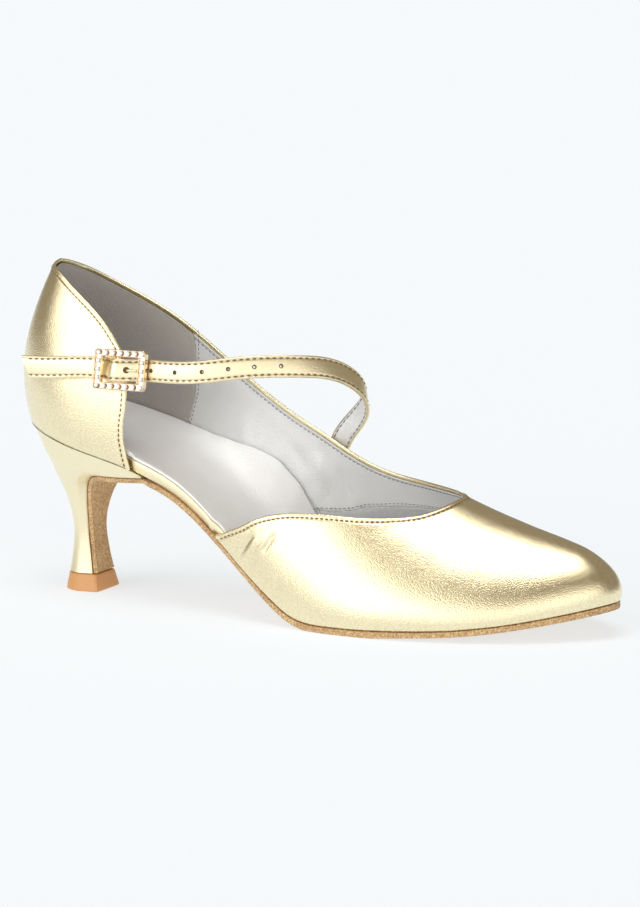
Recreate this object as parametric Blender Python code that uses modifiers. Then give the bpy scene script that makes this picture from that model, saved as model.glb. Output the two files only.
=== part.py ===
import math

import bmesh
import bpy
import numpy as np

# ladies' ballroom shoe, right foot: toe towards +X, inner side towards +Y, floor at z = 0
# sizes are in millimetres; the heel tip's ground face is centred on the origin
MM = 0.001
COLLECTION_NAME = "ballroom_shoe"

# driving sizes: length in plan, width over the ball, and the seat's height over the heel tip
SHOE_LENGTH = 240.0
BALL_WIDTH = 75.0
HEEL_HEIGHT = 60.0
WALL = 1.6
FIT = 0.3


def sized(rows, kinds):
    """Table of shares as millimetres; kinds says which size each column is a share of."""
    size_of = {"x": SHOE_LENGTH, "y": BALL_WIDTH, "z": HEEL_HEIGHT, "-": 1.0}
    return np.array(rows, float) * [size_of[kind] for kind in kinds]



# plan outline of the last's feather line, as half widths to the outer and inner side
OUTLINE_ROWS = sized((  # x, outer side, inner side
    (-0.08, 0.0, 0.0), (-0.0737, 0.085, 0.085), (-0.0542, 0.184, 0.184),
    (-0.0208, 0.269, 0.267), (0.025, 0.328, 0.323), (0.0917, 0.352, 0.331),
    (0.1667, 0.36, 0.301), (0.25, 0.363, 0.272), (0.3333, 0.395, 0.285),
    (0.4167, 0.445, 0.355), (0.5, 0.499, 0.445), (0.5708, 0.507, 0.493),
    (0.6417, 0.483, 0.496), (0.7167, 0.427, 0.456), (0.7875, 0.339, 0.381),
    (0.8458, 0.232, 0.272), (0.8896, 0.112, 0.136), (0.907, 0.0, 0.0)), "xyy")
# side profile of the feather line: seat, arch, tread and toe spring
FEATHER_ROWS = sized((  # x, height
    (-0.0917, 1.093), (-0.0417, 1.05), (0.0208, 0.987), (0.0833, 0.927),
    (0.1417, 0.867), (0.1917, 0.79), (0.2333, 0.703), (0.2667, 0.608), (0.3, 0.497),
    (0.3333, 0.378), (0.3667, 0.263), (0.4, 0.162), (0.4333, 0.082), (0.4667, 0.047),
    (0.5, 0.042), (0.5583, 0.045), (0.6167, 0.053), (0.6875, 0.07), (0.7708, 0.11),
    (0.8458, 0.165), (0.9125, 0.22)), "xz")
# underside of the suede outsole from the heel's wing to the toe, flat at the tread
SOLE_ROWS = sized((  # x, height
    (0.1833, 0.758), (0.2083, 0.717), (0.2333, 0.66), (0.2667, 0.563), (0.3, 0.453),
    (0.3333, 0.337), (0.3667, 0.222), (0.4, 0.118), (0.4333, 0.038), (0.4625, 0.002),
    (0.5167, -0.005), (0.575, 0.0), (0.6167, 0.012), (0.6875, 0.03), (0.7708, 0.07),
    (0.8458, 0.123), (0.9125, 0.177)), "xz")
# height of the instep ridge, from the top of the heel to the toe box
RIDGE_ROWS = sized((  # x, height
    (-0.05, 2.2), (0.0, 2.225), (0.0625, 2.208), (0.125, 2.15), (0.25, 1.933),
    (0.375, 1.583), (0.4792, 1.225), (0.5708, 0.958), (0.625, 0.833), (0.6875, 0.725),
    (0.75, 0.643), (0.8313, 0.55)), "xz")
# how each cross-section of the last rises from the feather line to the ridge
SECTION_ROWS = sized((  # feather x, ridge x, ridge half width, lean, rise, end drop, end reach
    (-0.08, -0.015, 0.0, 16.0, 0.45, 62.0, 0.45),
    (-0.0542, -0.0042, 0.093, 15.0, 0.433, 64.0, 0.45),
    (0.025, 0.0417, 0.147, 9.0, 0.4, 70.0, 0.433),
    (0.125, 0.125, 0.147, 4.0, 0.4, 66.0, 0.433),
    (0.25, 0.25, 0.12, 2.0, 0.433, 56.0, 0.433),
    (0.375, 0.375, 0.067, 8.0, 0.4, 40.0, 0.4),
    (0.4792, 0.4833, 0.02, 16.0, 0.317, 20.0, 0.333),
    (0.5708, 0.575, 0.0, 18.0, 0.25, 6.0, 0.283),
    (0.6667, 0.6667, 0.0, 16.0, 0.2, 0.0, 0.25),
    (0.75, 0.7396, 0.0, 15.0, 0.167, 0.0, 0.217),
    (0.8333, 0.7958, 0.0, 18.0, 0.15, 0.0, 0.183),
    (0.8896, 0.825, 0.0, 24.0, 0.147, 0.0, 0.167),
    (0.907, 0.8313, 0.0, 28.0, 0.147, 0.0, 0.167)), "xxy-z-z")
# share of the length over which the flat of the ridge closes to a line
RIDGE_CLOSES = (0.46, 0.60)
# top edges, placed on the last by share of its length and share of the section's girth
INNER_TOPLINE = (  # foot of the column, top of the column, girth share
    (0.0, 0.0, 0.885), (0.03, 0.03, 0.867), (0.074, 0.074, 0.825), (0.133, 0.133, 0.757),
    (0.185, 0.185, 0.705), (0.232, 0.232, 0.658), (0.269, 0.269, 0.612), (0.312, 0.312, 0.560),
    (0.353, 0.353, 0.530), (0.407, 0.407, 0.530), (0.455, 0.455, 0.550), (0.489, 0.489, 0.567),
    (0.517, 0.517, 0.577), (0.548, 0.548, 0.586), (0.580, 0.580, 0.603), (0.616, 0.618, 0.650),
    (0.652, 0.662, 0.740), (0.678, 0.694, 0.842), (0.699, 0.712, 0.926), (0.717, 0.7210, 0.982),
    (0.731, 0.7235, 1.0))
OUTER_TOPLINE = (
    (0.731, 0.7235, 1.0), (0.715, 0.7210, 0.960), (0.693, 0.7120, 0.850), (0.670, 0.691, 0.722),
    (0.648, 0.662, 0.634), (0.618, 0.622, 0.562), (0.580, 0.580, 0.508), (0.535, 0.535, 0.450),
    (0.500, 0.500, 0.386), (0.465, 0.465, 0.292), (0.440, 0.440, 0.200), (0.416, 0.416, 0.107),
    (0.404, 0.404, 0.055), (0.393, 0.393, 0.012))
QUARTER_TOPLINE = (
    (0.0, 0.0, 0.885), (0.045, 0.040, 0.872), (0.095, 0.086, 0.842), (0.142, 0.129, 0.782),
    (0.184, 0.172, 0.712), (0.224, 0.207, 0.642), (0.255, 0.2345, 0.560))
QUARTER_FRONT = (  # girth share, length share
    (0.0, 0.255), (0.07, 0.2495), (0.14, 0.2455), (0.21, 0.2455), (0.29, 0.2485),
    (0.38, 0.2495), (0.47, 0.2460), (0.56, 0.2345))

BOARD_ROWS = sized((  # x, thickness
    (-0.0833, 0.06), (0.1417, 0.07), (0.3, 0.07), (0.4, 0.05), (0.5, 0.037),
    (0.9125, 0.03)), "xz")
SOCK_THICK = 1.0
# where across the sock its rise begins, how it steepens, and its reach at a narrow end
CUP_START = 0.25
CUP_POWER = 1.7
CUP_REACH = 14.0
# how far the sock's edges are raised: cupped round the seat, with a pad under the inner arch
SOCK_LIFT_ROWS = sized((  # x, outer side, inner side
    (-0.0833, 0.053, 0.053), (0.0208, 0.073, 0.08), (0.0917, 0.057, 0.073),
    (0.1417, 0.013, 0.072), (0.1583, 0.0, 0.077), (0.1917, 0.0, 0.093),
    (0.2333, 0.0, 0.143), (0.2708, 0.0, 0.223), (0.3083, 0.0, 0.293),
    (0.3417, 0.0, 0.277), (0.3667, 0.0, 0.183), (0.3958, 0.0, 0.083),
    (0.4333, 0.0, 0.02), (0.4667, 0.0, 0.0), (0.9125, 0.0, 0.0)), "xzz")
# how far the bottom's layers lie inside the outline, beside the upper and where it is cut away
COVERED_INSET = 1.9
BARE_INSET = 0.6
# stretch of the outer side that has no upper
WAIST_OPENING = sized((0.1562, 0.2958), "xx")
# the heel from its neck to the seat and to the wing that reaches under the waist
HEEL_ROWS = sized((  # rear x, rear z, front x, front z, half width, front half width, round back
    (-0.0204, 0.112, 0.0317, 0.112, 0.099, 0.091, 0.0308),
    (-0.0179, 0.167, 0.0292, 0.167, 0.092, 0.083, 0.0288),
    (-0.0142, 0.267, 0.0254, 0.267, 0.083, 0.075, 0.0258),
    (-0.0125, 0.367, 0.0225, 0.367, 0.08, 0.072, 0.025),
    (-0.0146, 0.467, 0.0225, 0.467, 0.091, 0.08, 0.0275),
    (-0.0204, 0.567, 0.0258, 0.567, 0.117, 0.104, 0.0358),
    (-0.0292, 0.667, 0.0333, 0.667, 0.163, 0.141, 0.0517),
    (-0.0371, 0.75, 0.0437, 0.727, 0.211, 0.181, 0.0667),
    (-0.0437, 0.833, 0.0625, 0.77, 0.259, 0.24, 0.0875),
    (-0.0542, 0.917, 0.0917, 0.788, 0.304, 0.301, 0.1125),
    (-0.065, 1.0, 0.1292, 0.797, 0.332, 0.333, 0.1458),
    (-0.0746, 1.063, 0.1688, 0.807, 0.347, 0.347, 0.1667)), "xzxzyyx")
WING_X = HEEL_ROWS[-1][2]
SEAT_BACK_X = SHOE_LENGTH * -0.0417
SEAT_ROW = sized((-0.08, 0.0, 0.1688, 0.0, 0.352, 0.352, 0.1717), "xzxzyyx")
FLAP_THICK = 1.6
FLAP_INSET = 0.4
FLAP_FLARE_X = SHOE_LENGTH * 0.075
# the outsole where it bends forward out of the heel, and its run from there to the toe
BEND_ROWS = sized((  # x, underside, upper side
    (0.1833, 0.758, 0.788), (0.1958, 0.739, 0.775)), "xzz")
SOLE_SPAN = sized((0.2125, 0.775), "xx")
WELT = 0.3
WELT_SPAN = sized((0.3333, 0.4583), "xx")
TIP_ROWS = sized((  # rear x, height, front x, half width, front half width
    (-0.0262, 0.0, 0.0442, 0.123, 0.115), (-0.0246, 0.037, 0.0425, 0.116, 0.108),
    (-0.0208, 0.107, 0.0392, 0.103, 0.095)), "xzxyy")

# the strap's centre line, from its punched tail over the buckle to its root on the inner side
STRAP_TAIL_ROWS = sized((  # x, y, z, outward x, outward y, outward z
    (-0.0317, -0.391, 1.46, 0.02, -1.0, 0.05), (0.0308, -0.376, 1.468, 0.01, -1.0, 0.1)), "xyz---")
STRAP_BUCKLE_ROWS = (  # forward in buckle lengths, inward in buckle depths, outward z
    (-0.794, 0.783, 0.16), (-0.537, 1.109, 0.19), (-0.364, 1.152, 0.19), (-0.266, 0.609, 0.19),
    (-0.178, -0.239, 0.19), (-0.084, -0.543, 0.19), (0.009, -0.304, 0.19), (0.131, 0.174, 0.19),
    (0.28, 0.804, 0.19), (0.402, 1.109, 0.18), (0.584, 1.109, 0.18))
STRAP_ROWS = sized((  # x, y, z, outward x, outward y, outward z
    (0.2342, -0.359, 1.478, 0.08, -1.0, 0.16),
    (0.2729, -0.341, 1.487, 0.18, -1.0, 0.16),
    (0.3092, -0.303, 1.505, 0.3, -0.97, 0.18), (0.3429, -0.251, 1.518, 0.42, -0.9, 0.2),
    (0.3742, -0.187, 1.52, 0.55, -0.82, 0.24), (0.4025, -0.12, 1.515, 0.66, -0.7, 0.28),
    (0.4246, -0.047, 1.503, 0.78, -0.52, 0.32),
    (0.4408, 0.02, 1.478, 0.86, -0.34, 0.34), (0.4529, 0.093, 1.433, 0.92, -0.14, 0.32),
    (0.4617, 0.153, 1.375, 0.94, 0.08, 0.26), (0.4646, 0.199, 1.313, 0.88, 0.32, 0.18),
    (0.4604, 0.239, 1.245, 0.76, 0.55, 0.12), (0.4483, 0.271, 1.177, 0.55, 0.78, 0.1),
    (0.4325, 0.293, 1.11, 0.3, 0.95, 0.12), (0.4158, 0.308, 1.037, 0.1, 1.0, 0.18),
    (0.4025, 0.321, 0.953, 0.0, 1.0, 0.25), (0.3925, 0.337, 0.867, -0.02, 1.0, 0.27),
    (0.3842, 0.352, 0.783, -0.02, 1.0, 0.27)), "xyz---")
STRAP_HALF = 4.1
STRAP_THICK = 1.5
HOLE_DIAMETER = 1.7
HOLE_X = sized((0.1913, 0.2333, 0.2758, 0.3137, 0.3483, 0.3817), "xxxxxx")
PRONG_HOLE_DIAMETER = 2.4
TAIL_SLANT = 3.6
TAIL_LENGTH = 6.0

BUCKLE_CENTRE = sized((0.1417, -0.387, 1.477), "xyz")
BUCKLE_TILT = 11.0
BUCKLE_LONG = 21.4
BUCKLE_TALL = 14.8
BUCKLE_DEEP = 2.3
WINDOW_LONG = 15.2
WINDOW_TALL = 9.4
CHANNEL_WIDE = 1.9
CHANNEL_DEEP = 1.1
RIM_RADIUS = 1.4
WINDOW_RADIUS = 0.7
BAR_AT = -2.0
BAR_DEEP = -1.35
BAR_DIAMETER = 1.0
TAB_THICK = 0.6
TAB_HALF = 3.0
TAB_ROWS = (  # behind the bar, inward: the loop's tail on the quarter
    (8.5, 4.0), (5.0, 3.9), (2.6, 3.1))
PRONG_HOLE_AT = 2.4
PRONG_DIAMETER = 1.0
PRONG_ROWS = (  # forward in half windows, outward in half depths
    (0.013, -1.478), (0.171, -1.304), (0.303, -0.609), (0.408, 0.348), (0.605, 0.652),
    (0.908, 0.522))
CRYSTAL_DIAMETER = 1.7
CRYSTAL_ROWS = (  # share of the diameter, height: point, girdle and table
    (0.35, 0.0), (1.0, 0.55), (1.0, 0.7), (0.55, 1.1))
CRYSTALS_LONG = 7
CRYSTALS_TALL = 5


def spline(xs, ys, first=None, last=None):
    """Smooth curve through the values, natural at an end that has no given slope."""
    xs = np.asarray(xs, float)
    ys = np.asarray(ys, float)
    count = len(xs)
    step = np.diff(xs)
    rise = np.diff(ys) / step
    matrix = np.zeros((count, count))
    right = np.zeros(count)
    matrix[0, 0] = 1.0
    matrix[-1, -1] = 1.0
    if first is not None:
        matrix[0, :2] = 2 * step[0], step[0]
        right[0] = 6 * (rise[0] - first)
    if last is not None:
        matrix[-1, -2:] = step[-1], 2 * step[-1]
        right[-1] = 6 * (last - rise[-1])
    for i in range(1, count - 1):
        matrix[i, i - 1:i + 2] = step[i - 1], 2 * (step[i - 1] + step[i]), step[i]
        right[i] = 6 * (rise[i] - rise[i - 1])
    bend = np.linalg.solve(matrix, right)

    def value(x):
        x = np.asarray(x, float)
        i = np.clip(np.searchsorted(xs, x) - 1, 0, count - 2)
        a = (xs[i + 1] - x) / step[i]
        b = (x - xs[i]) / step[i]
        curved = ((a ** 3 - a) * bend[i] + (b ** 3 - b) * bend[i + 1]) * step[i] ** 2 / 6
        return a * ys[i] + b * ys[i + 1] + curved
    return value


def columns(rows):
    return np.array(rows, float).T


def soft_step(x, low, high):
    t = np.clip((np.asarray(x, float) - low) / (high - low), 0.0, 1.0)
    return t * t * (3 - 2 * t)


OUTER, INNER = 0, 1
SIGN = (-1.0, 1.0)

outline_table = np.array(OUTLINE_ROWS)
middle = np.column_stack([outline_table[:, 0], outline_table[:, 1:].mean(axis=1)])
run = np.concatenate([[0.0], np.cumsum(np.hypot(*np.diff(middle, axis=0).T))])
run = run / run[-1]
outline_x = spline(run, outline_table[:, 0], 0.0, 0.0)
outline_y = (spline(run, outline_table[:, 1]), spline(run, outline_table[:, 2]))
feather_z = spline(*columns(FEATHER_ROWS))
ridge_z = spline(*columns(RIDGE_ROWS))
board_thick = spline(*columns(BOARD_ROWS))
sole_bottom = spline(*columns(SOLE_ROWS))

HEEL_TIP_X = (TIP_ROWS[0][0] + TIP_ROWS[0][2]) / 2
share_grid = np.linspace(0.0, 1.0, 2001)
outline_grid_x = outline_x(share_grid)
section_table = np.array(SECTION_ROWS)
section_share = np.interp(section_table[:, 0], outline_grid_x, share_grid)
section_share[0] = 0.0
section_share[-1] = 1.0
section_columns = [spline(section_share, section_table[:, k], None, 0.0) for k in (1, 3, 4, 5, 6)]
ridge_x, lean_at, rise_at, drop_at, reach_at = section_columns
ridge_half = spline(section_share, section_table[:, 2])


def outline_half(side, x):
    return np.interp(x, outline_grid_x, outline_y[side](share_grid))


def share_of(x):
    return np.interp(x, outline_grid_x, share_grid)


def plan_point(side, share):
    """Feather line in plan, carried past both ends as its own mirror image."""
    folded = np.where(share > 1, 2 - share, np.abs(share))
    flip = np.where((share > 1) | (share < 0), -1.0, 1.0)
    return np.stack([outline_x(folded), flip * SIGN[side] * outline_y[side](folded)], -1)


def plan_outward(side, share):
    share = np.asarray(share, float)
    along = plan_point(side, share + 1e-4) - plan_point(side, share - 1e-4)
    out = np.stack([-SIGN[side] * along[..., 1], SIGN[side] * along[..., 0]], -1)
    return out / np.linalg.norm(out, axis=-1, keepdims=True)


def last_point(side, share, girth):
    """Point on the last: share 0 at the heel to 1 at the toe, girth 0 feather to 1 ridge."""
    share = np.asarray(share, float)
    girth = np.asarray(girth, float)[..., None]
    plan = plan_point(side, share)
    out = plan_outward(side, share)
    foot = np.stack([plan[..., 0], plan[..., 1], feather_z(plan[..., 0])], -1)
    rx = ridge_x(share)
    half = np.maximum(ridge_half(share), 0.0) * (1 - soft_step(share, *RIDGE_CLOSES))
    top = np.stack([rx, SIGN[side] * half, ridge_z(rx)], -1)
    slope = (ridge_z(rx + 0.05) - ridge_z(rx - 0.05)) / 0.1
    lean = np.radians(lean_at(share))
    drop = np.radians(drop_at(share))
    start = np.stack([out[..., 0] * np.sin(lean), out[..., 1] * np.sin(lean), np.cos(lean)], -1)
    end = np.stack([out[..., 0] * np.cos(drop), out[..., 1] * np.cos(drop),
                    slope * out[..., 0] * np.cos(drop) - np.sin(drop)], -1)
    first = foot + start * rise_at(share)[..., None]
    second = top + end * reach_at(share)[..., None]
    rest = 1 - girth
    return (rest ** 3 * foot + 3 * rest ** 2 * girth * first
            + 3 * rest * girth ** 2 * second + girth ** 3 * top)


def to_metres(points):
    return (np.asarray(points, float) - np.array([HEEL_TIP_X, 0.0, 0.0])) * MM


def material(name, colour, roughness, metallic):
    mat = bpy.data.materials.new(name)
    mat.use_nodes = True
    shader = mat.node_tree.nodes["Principled BSDF"]
    shader.inputs["Base Color"].default_value = (*colour, 1.0)
    shader.inputs["Roughness"].default_value = roughness
    shader.inputs["Metallic"].default_value = metallic
    mat.diffuse_color = (*colour, 1.0)
    return mat


def place(name, mesh, mat, collection):
    obj = bpy.data.objects.new(name, mesh)
    mesh.materials.append(mat)
    collection.objects.link(obj)
    return obj


def finish_mesh(name, points, faces, merge=0.00001):
    """Mesh from computed points, with coinciding corners merged and faces turned outward."""
    bm = bmesh.new()
    verts = [bm.verts.new(p) for p in points]
    for face in faces:
        corner = [verts[i] for i in face]
        bm.faces.new(corner)
    bmesh.ops.remove_doubles(bm, verts=bm.verts, dist=merge)
    bmesh.ops.dissolve_degenerate(bm, edges=bm.edges, dist=merge / 2)
    bmesh.ops.recalc_face_normals(bm, faces=bm.faces)
    mesh = bpy.data.meshes.new(name)
    bm.to_mesh(mesh)
    bm.free()
    mesh.shade_smooth()
    mesh.set_sharp_from_angle(angle=math.radians(40))
    return mesh


def loft(rings, close_ends=True):
    """Points and faces of a tube through rings that have the same number of corners."""
    count = len(rings[0])
    points = np.concatenate(rings)
    faces = []
    for k in range(len(rings) - 1):
        for i in range(count):
            j = (i + 1) % count
            low = k * count
            high = low + count
            faces.append((low + i, low + j, high + j, high + i))
    if close_ends:
        faces.append(tuple(reversed(range(count))))
        faces.append(tuple(range(len(points) - count, len(points))))
    return points, faces


def strip_rings(stations, across):
    """Rings of a slab: each station gives its low and high centre point and both half widths."""
    rings = []
    places = np.linspace(-1.0, 1.0, across)
    for low, high, outer, inner in stations:
        y = np.where(places < 0, places * outer, places * inner)
        under = np.column_stack([np.full(across, low[0]), y, np.full(across, low[1])])
        over = np.column_stack([np.full(across, high[0]), y, np.full(across, high[1])])
        rings.append(np.concatenate([under, over[::-1]]))
    return rings


def close_strip(points, faces, count):
    """Replace a slab's two end polygons by strips of quads, so that they stay well shaped."""
    faces = faces[:-2]
    half = count // 2
    for base, flip in ((0, True), (len(points) - count, False)):
        for i in range(half - 1):
            quad = (base + i, base + i + 1, base + count - 2 - i, base + count - 1 - i)
            faces.append(tuple(reversed(quad)) if flip else quad)
    return faces


def slab(name, stations, across, mat, collection):
    rings = strip_rings(stations, across)
    points, faces = loft(rings)
    faces = close_strip(points, faces, 2 * across)
    return place(name, finish_mesh(name, to_metres(points), faces), mat, collection)


def column_grid(side, feet, tops, girths, rows, front=None):
    """Grid over the last: one column for each foot and top, from the feather line up."""
    rise = np.linspace(0.0, 1.0, rows)
    grid = []
    count = len(feet)
    for j in range(count):
        share = feet[j] + (tops[j] - feet[j]) * rise
        girth = girths[j] * rise
        if front is not None:
            pull = (j / (count - 1)) ** 2
            edge = np.interp(girth, *columns(QUARTER_FRONT))
            straight = feet[-1] + (tops[-1] - feet[-1]) * rise
            share = share + pull * (edge - straight)
        grid.append(last_point(side, share, girth))
    return np.array(grid)


def topline(rows, steps):
    """Topline resampled evenly along its own length, as feet, tops and girth shares."""
    table = np.array(rows)
    t = np.arange(len(table), dtype=float)
    fine = np.linspace(0.0, t[-1], 400)
    curves = [spline(t, table[:, k]) for k in range(3)]
    feet, tops, girths = [c(fine) for c in curves]
    steps_up = np.hypot(np.diff(tops) * SHOE_LENGTH, np.diff(girths) * HEEL_HEIGHT)
    length = np.concatenate([[0.0], np.cumsum(steps_up)])
    even = np.interp(np.linspace(0.0, length[-1], steps), length, fine)
    out = [c(even) for c in curves]
    for values, k in zip(out, range(3)):
        values[0] = table[0, k]
        values[-1] = table[-1, k]
    return out


def grid_faces(columns_count, rows, start, flip):
    faces = []
    for i in range(columns_count - 1):
        for j in range(rows - 1):
            a = start + i * rows + j
            quad = (a, a + rows, a + rows + 1, a + 1)
            faces.append(tuple(reversed(quad)) if flip else quad)
    return faces


def build_upper(mat, collection):
    rows = 9
    throat_foot, throat = OUTER_TOPLINE[0][:2]
    toe = 1.0 - (1.0 - throat) * (1.0 - np.linspace(0.0, 1.0, 17)) ** 1.15
    toe_feet = throat_foot + (1.0 - throat_foot) * (toe - throat) / (1.0 - throat)
    inner = topline(INNER_TOPLINE, 46)
    outer = topline(OUTER_TOPLINE, 24)
    quarter = topline(QUARTER_TOPLINE, 17)
    full = np.ones(len(toe) - 1)
    grids = (
        (column_grid(INNER, np.concatenate([inner[0], toe_feet[1:]]),
                     np.concatenate([inner[1], toe[1:]]),
                     np.concatenate([inner[2], full]), rows), True),
        (column_grid(OUTER, np.concatenate([toe_feet[:0:-1], outer[0]]),
                     np.concatenate([toe[:0:-1], outer[1]]),
                     np.concatenate([full, outer[2]]), rows), True),
        (column_grid(OUTER, *quarter, rows, front=True), False))
    points = []
    faces = []
    for grid, flip in grids:
        faces += grid_faces(len(grid), rows, len(points), flip)
        points += list(grid.reshape(-1, 3))
    mesh = finish_mesh("upper", to_metres(points), faces, 0.00002)
    obj = place("upper", mesh, mat, collection)
    # outward faces, so that the wall grows inward from the last's surface
    centre = to_metres((SHOE_LENGTH * 0.375, 0.0, HEEL_HEIGHT / 2))
    votes = 0.0
    for poly in mesh.polygons:
        votes += poly.area * float(np.dot(np.array(poly.normal), np.array(poly.center) - centre))
    if votes < 0:
        mesh.flip_normals()
    wall = obj.modifiers.new("wall", "SOLIDIFY")
    wall.thickness = WALL * MM
    wall.offset = -1.0
    wall.use_even_offset = True
    wall.use_rim = True
    return obj


def inset_station(share, outer_inset, inner_inset):
    """Both edges of a layer that lies inside the outline, at one share of the length."""
    out_edge = plan_point(OUTER, share) - plan_outward(OUTER, share) * outer_inset
    in_edge = plan_point(INNER, share) - plan_outward(INNER, share) * inner_inset
    return (out_edge[0] + in_edge[0]) / 2, max(-out_edge[1], 0.0), max(in_edge[1], 0.0)


def layer_shares():
    heel = 0.5 * (1 - np.cos(np.linspace(0, np.pi / 2, 9))) * 0.24
    low, high = WAIST_OPENING
    waist = share_of(np.concatenate([[low - 1.1, low + 0.4], np.linspace(low + 6.5, high - 8.0, 4),
                                     [high - 0.4, high + 1.1]]))
    ahead = np.linspace(0.43, 0.82, 9)
    toe = 0.82 + 0.18 * np.sin(np.linspace(0.16, np.pi / 2, 10))
    return np.unique(np.concatenate([heel, [0.16, 0.2], waist, ahead, toe]))


def waist_inset(x):
    low, high = WAIST_OPENING
    bare = soft_step(x, low - 1.0, low + 0.4) * (1 - soft_step(x, high - 0.4, high + 1.0))
    return COVERED_INSET + (BARE_INSET - COVERED_INSET) * bare


def build_board(mat, collection):
    stations = []
    for share in layer_shares():
        inset = float(waist_inset(float(outline_x(share))))
        mid, outer, inner = inset_station(share, inset, COVERED_INSET)
        base = float(feather_z(mid))
        stations.append(((mid, base), (mid, base + float(board_thick(mid))), outer, inner))
    return slab("insole_board", stations, 7, mat, collection)


def wall_half(side, share, height):
    """Half width left inside the upper's wall at a height, along one section."""
    girth = np.linspace(0.0, 0.6, 40)
    points = last_point(side, np.full(40, share), girth)
    return float(np.interp(height, points[:, 2], np.abs(points[:, 1]))) - 1.04 * WALL - FIT


def build_sock(mat, collection):
    """Sock with its seat cupped to the quarter and its inner edge padded under the arch."""
    lift_table = np.array(SOCK_LIFT_ROWS)
    across = np.linspace(-1.0, 1.0, 11)
    rings = []
    for share in layer_shares():
        x = float(outline_x(share))
        inset = float(waist_inset(x)) + FIT / 2
        mid, outer, inner = inset_station(share, inset, COVERED_INSET + FIT / 2)
        base = float(feather_z(mid)) + float(board_thick(mid)) + FIT
        low = []
        high = []
        for t in across:
            side = OUTER if t < 0 else INNER
            edge = outer if t < 0 else inner
            raised = float(np.interp(mid, lift_table[:, 0], lift_table[:, 1 + side]))
            near_edge = max(abs(t), 1.0 - edge / CUP_REACH)
            raised *= max(0.0, (near_edge - CUP_START) / (1.0 - CUP_START)) ** CUP_POWER
            top = base + SOCK_THICK + raised
            wide = edge
            if raised > 0.5 and edge > 3.0:
                wide = min(edge, wall_half(side, share, top) - 0.1)
            low.append((mid, t * edge, base))
            high.append((mid, t * wide, top))
        rings.append(np.array(low + high[::-1]))
    points, faces = loft(rings)
    faces = close_strip(points, faces, 2 * len(across))
    mesh = finish_mesh("sock", to_metres(points), faces)
    return place("sock", mesh, mat, collection)


def breast_path():
    """Front profile of the heel from its tip up and forward under the wing."""
    rows = np.array(HEEL_ROWS)[:, 2:4]
    length = np.concatenate([[0.0], np.cumsum(np.hypot(*np.diff(rows, axis=0).T))])
    return spline(length, rows[:, 0]), spline(length, rows[:, 1]), length


def build_outsole(mat, collection):
    path_x, path_z, length = breast_path()
    widths = spline(length, np.array(HEEL_ROWS)[:, 5])
    stations = []
    marks = np.concatenate([np.linspace(0.0, length[5], 8), np.linspace(length[5], length[-1], 12)[1:]])
    for run_at in marks:
        x, z = float(path_x(run_at)), float(path_z(run_at))
        dx = float(path_x(run_at + 0.05) - path_x(run_at - 0.05))
        dz = float(path_z(run_at + 0.05) - path_z(run_at - 0.05))
        size = math.hypot(dx, dz)
        nx, nz = dz / size, -dx / size
        near = (x + nx * FIT, z + nz * FIT)
        far = (x + nx * (FIT + FLAP_THICK), z + nz * (FIT + FLAP_THICK))
        half = float(widths(run_at)) - FLAP_INSET
        seat_half = float(outline_half(INNER, x)) - 2 * FLAP_INSET
        inner = min(half, seat_half) if x > FLAP_FLARE_X else half
        stations.append((far, near, half, inner))
    for x, low, high in BEND_ROWS:
        stations.append(((x, low), (x, high), outline_half(OUTER, x) - FLAP_INSET / 2,
                         outline_half(INNER, x) - FLAP_INSET / 2))
    first, toe = share_of(SOLE_SPAN)
    toe_end = 1.0 - (1.0 - toe) * (1 - np.linspace(0.0, 1.0, 13)) ** 1.9
    ahead = share_of(np.linspace(*SOLE_SPAN, 25))
    shares = np.concatenate([ahead, toe_end[1:]])
    for share in shares:
        x = float(outline_x(share))
        welt = WELT * float(soft_step(x, *WELT_SPAN))
        low = max(float(sole_bottom(x)), 0.0)
        high = float(feather_z(x)) - FIT
        outer = float(outline_y[OUTER](share)) + welt * (share < 0.999)
        inner = float(outline_y[INNER](share)) + welt * (share < 0.999)
        stations.append(((x, low), (x, high), max(outer, 0.0), max(inner, 0.0)))
    return slab("outsole", stations, 7, mat, collection)


def heel_ring(row):
    rear_x, rear_z, front_x, front_z, half, front_half, back = row
    points = []
    for side in (OUTER, INNER):
        edge = []
        for angle in np.linspace(0.0, math.pi / 2, 8):
            edge.append((rear_x + back * (1 - math.cos(angle)), half * math.sin(angle)))
        straight = np.linspace(0.0, 1.0, 4)[1:]
        for part in straight:
            edge.append((rear_x + back + (front_x - rear_x - back) * part,
                         half + (front_half - half) * part))
        points.append(edge)
    return points, (rear_x, rear_z, front_x, front_z)


def heel_section(row, blend):
    """Closed ring round the heel; blend brings its sides to the unequal seat outline."""
    (outer, inner), (rear_x, rear_z, front_x, front_z) = heel_ring(row)
    ring = []
    for side, edge in ((OUTER, outer), (INNER, inner[::-1])):
        for x, y in edge:
            share = (x - rear_x) / (front_x - rear_x)
            z = rear_z + (front_z - rear_z) * share
            seat_x = max(x, SEAT_BACK_X)
            ratio = outline_half(side, seat_x) / outline_half(OUTER, seat_x)
            wide = y * (1 + (ratio - 1) * blend)
            ring.append((x, SIGN[side] * wide, z))
    inner_half = ring[11:]
    cross = []
    corner_out, corner_in = np.array(ring[10]), np.array(inner_half[0])
    for part in (0.25, 0.5, 0.75):
        cross.append(tuple(corner_out + (corner_in - corner_out) * part))
    return np.array(ring[:11] + cross + inner_half[:-1])


def seat_ring():
    """Top ring of the heel, on the feather line."""
    template = heel_ring(SEAT_ROW)[0][0]
    outer = [(x, -float(outline_half(OUTER, x))) for x, _ in template]
    inner = [(x, float(outline_half(INNER, x))) for x, _ in template][::-1]
    cross = []
    for part in (0.25, 0.5, 0.75):
        cross.append((WING_X, outer[-1][1] + (inner[0][1] - outer[-1][1]) * part))
    ring = outer + cross + inner[:-1]
    return np.array([(x, y, float(feather_z(x)) - FIT) for x, y in ring])


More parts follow.
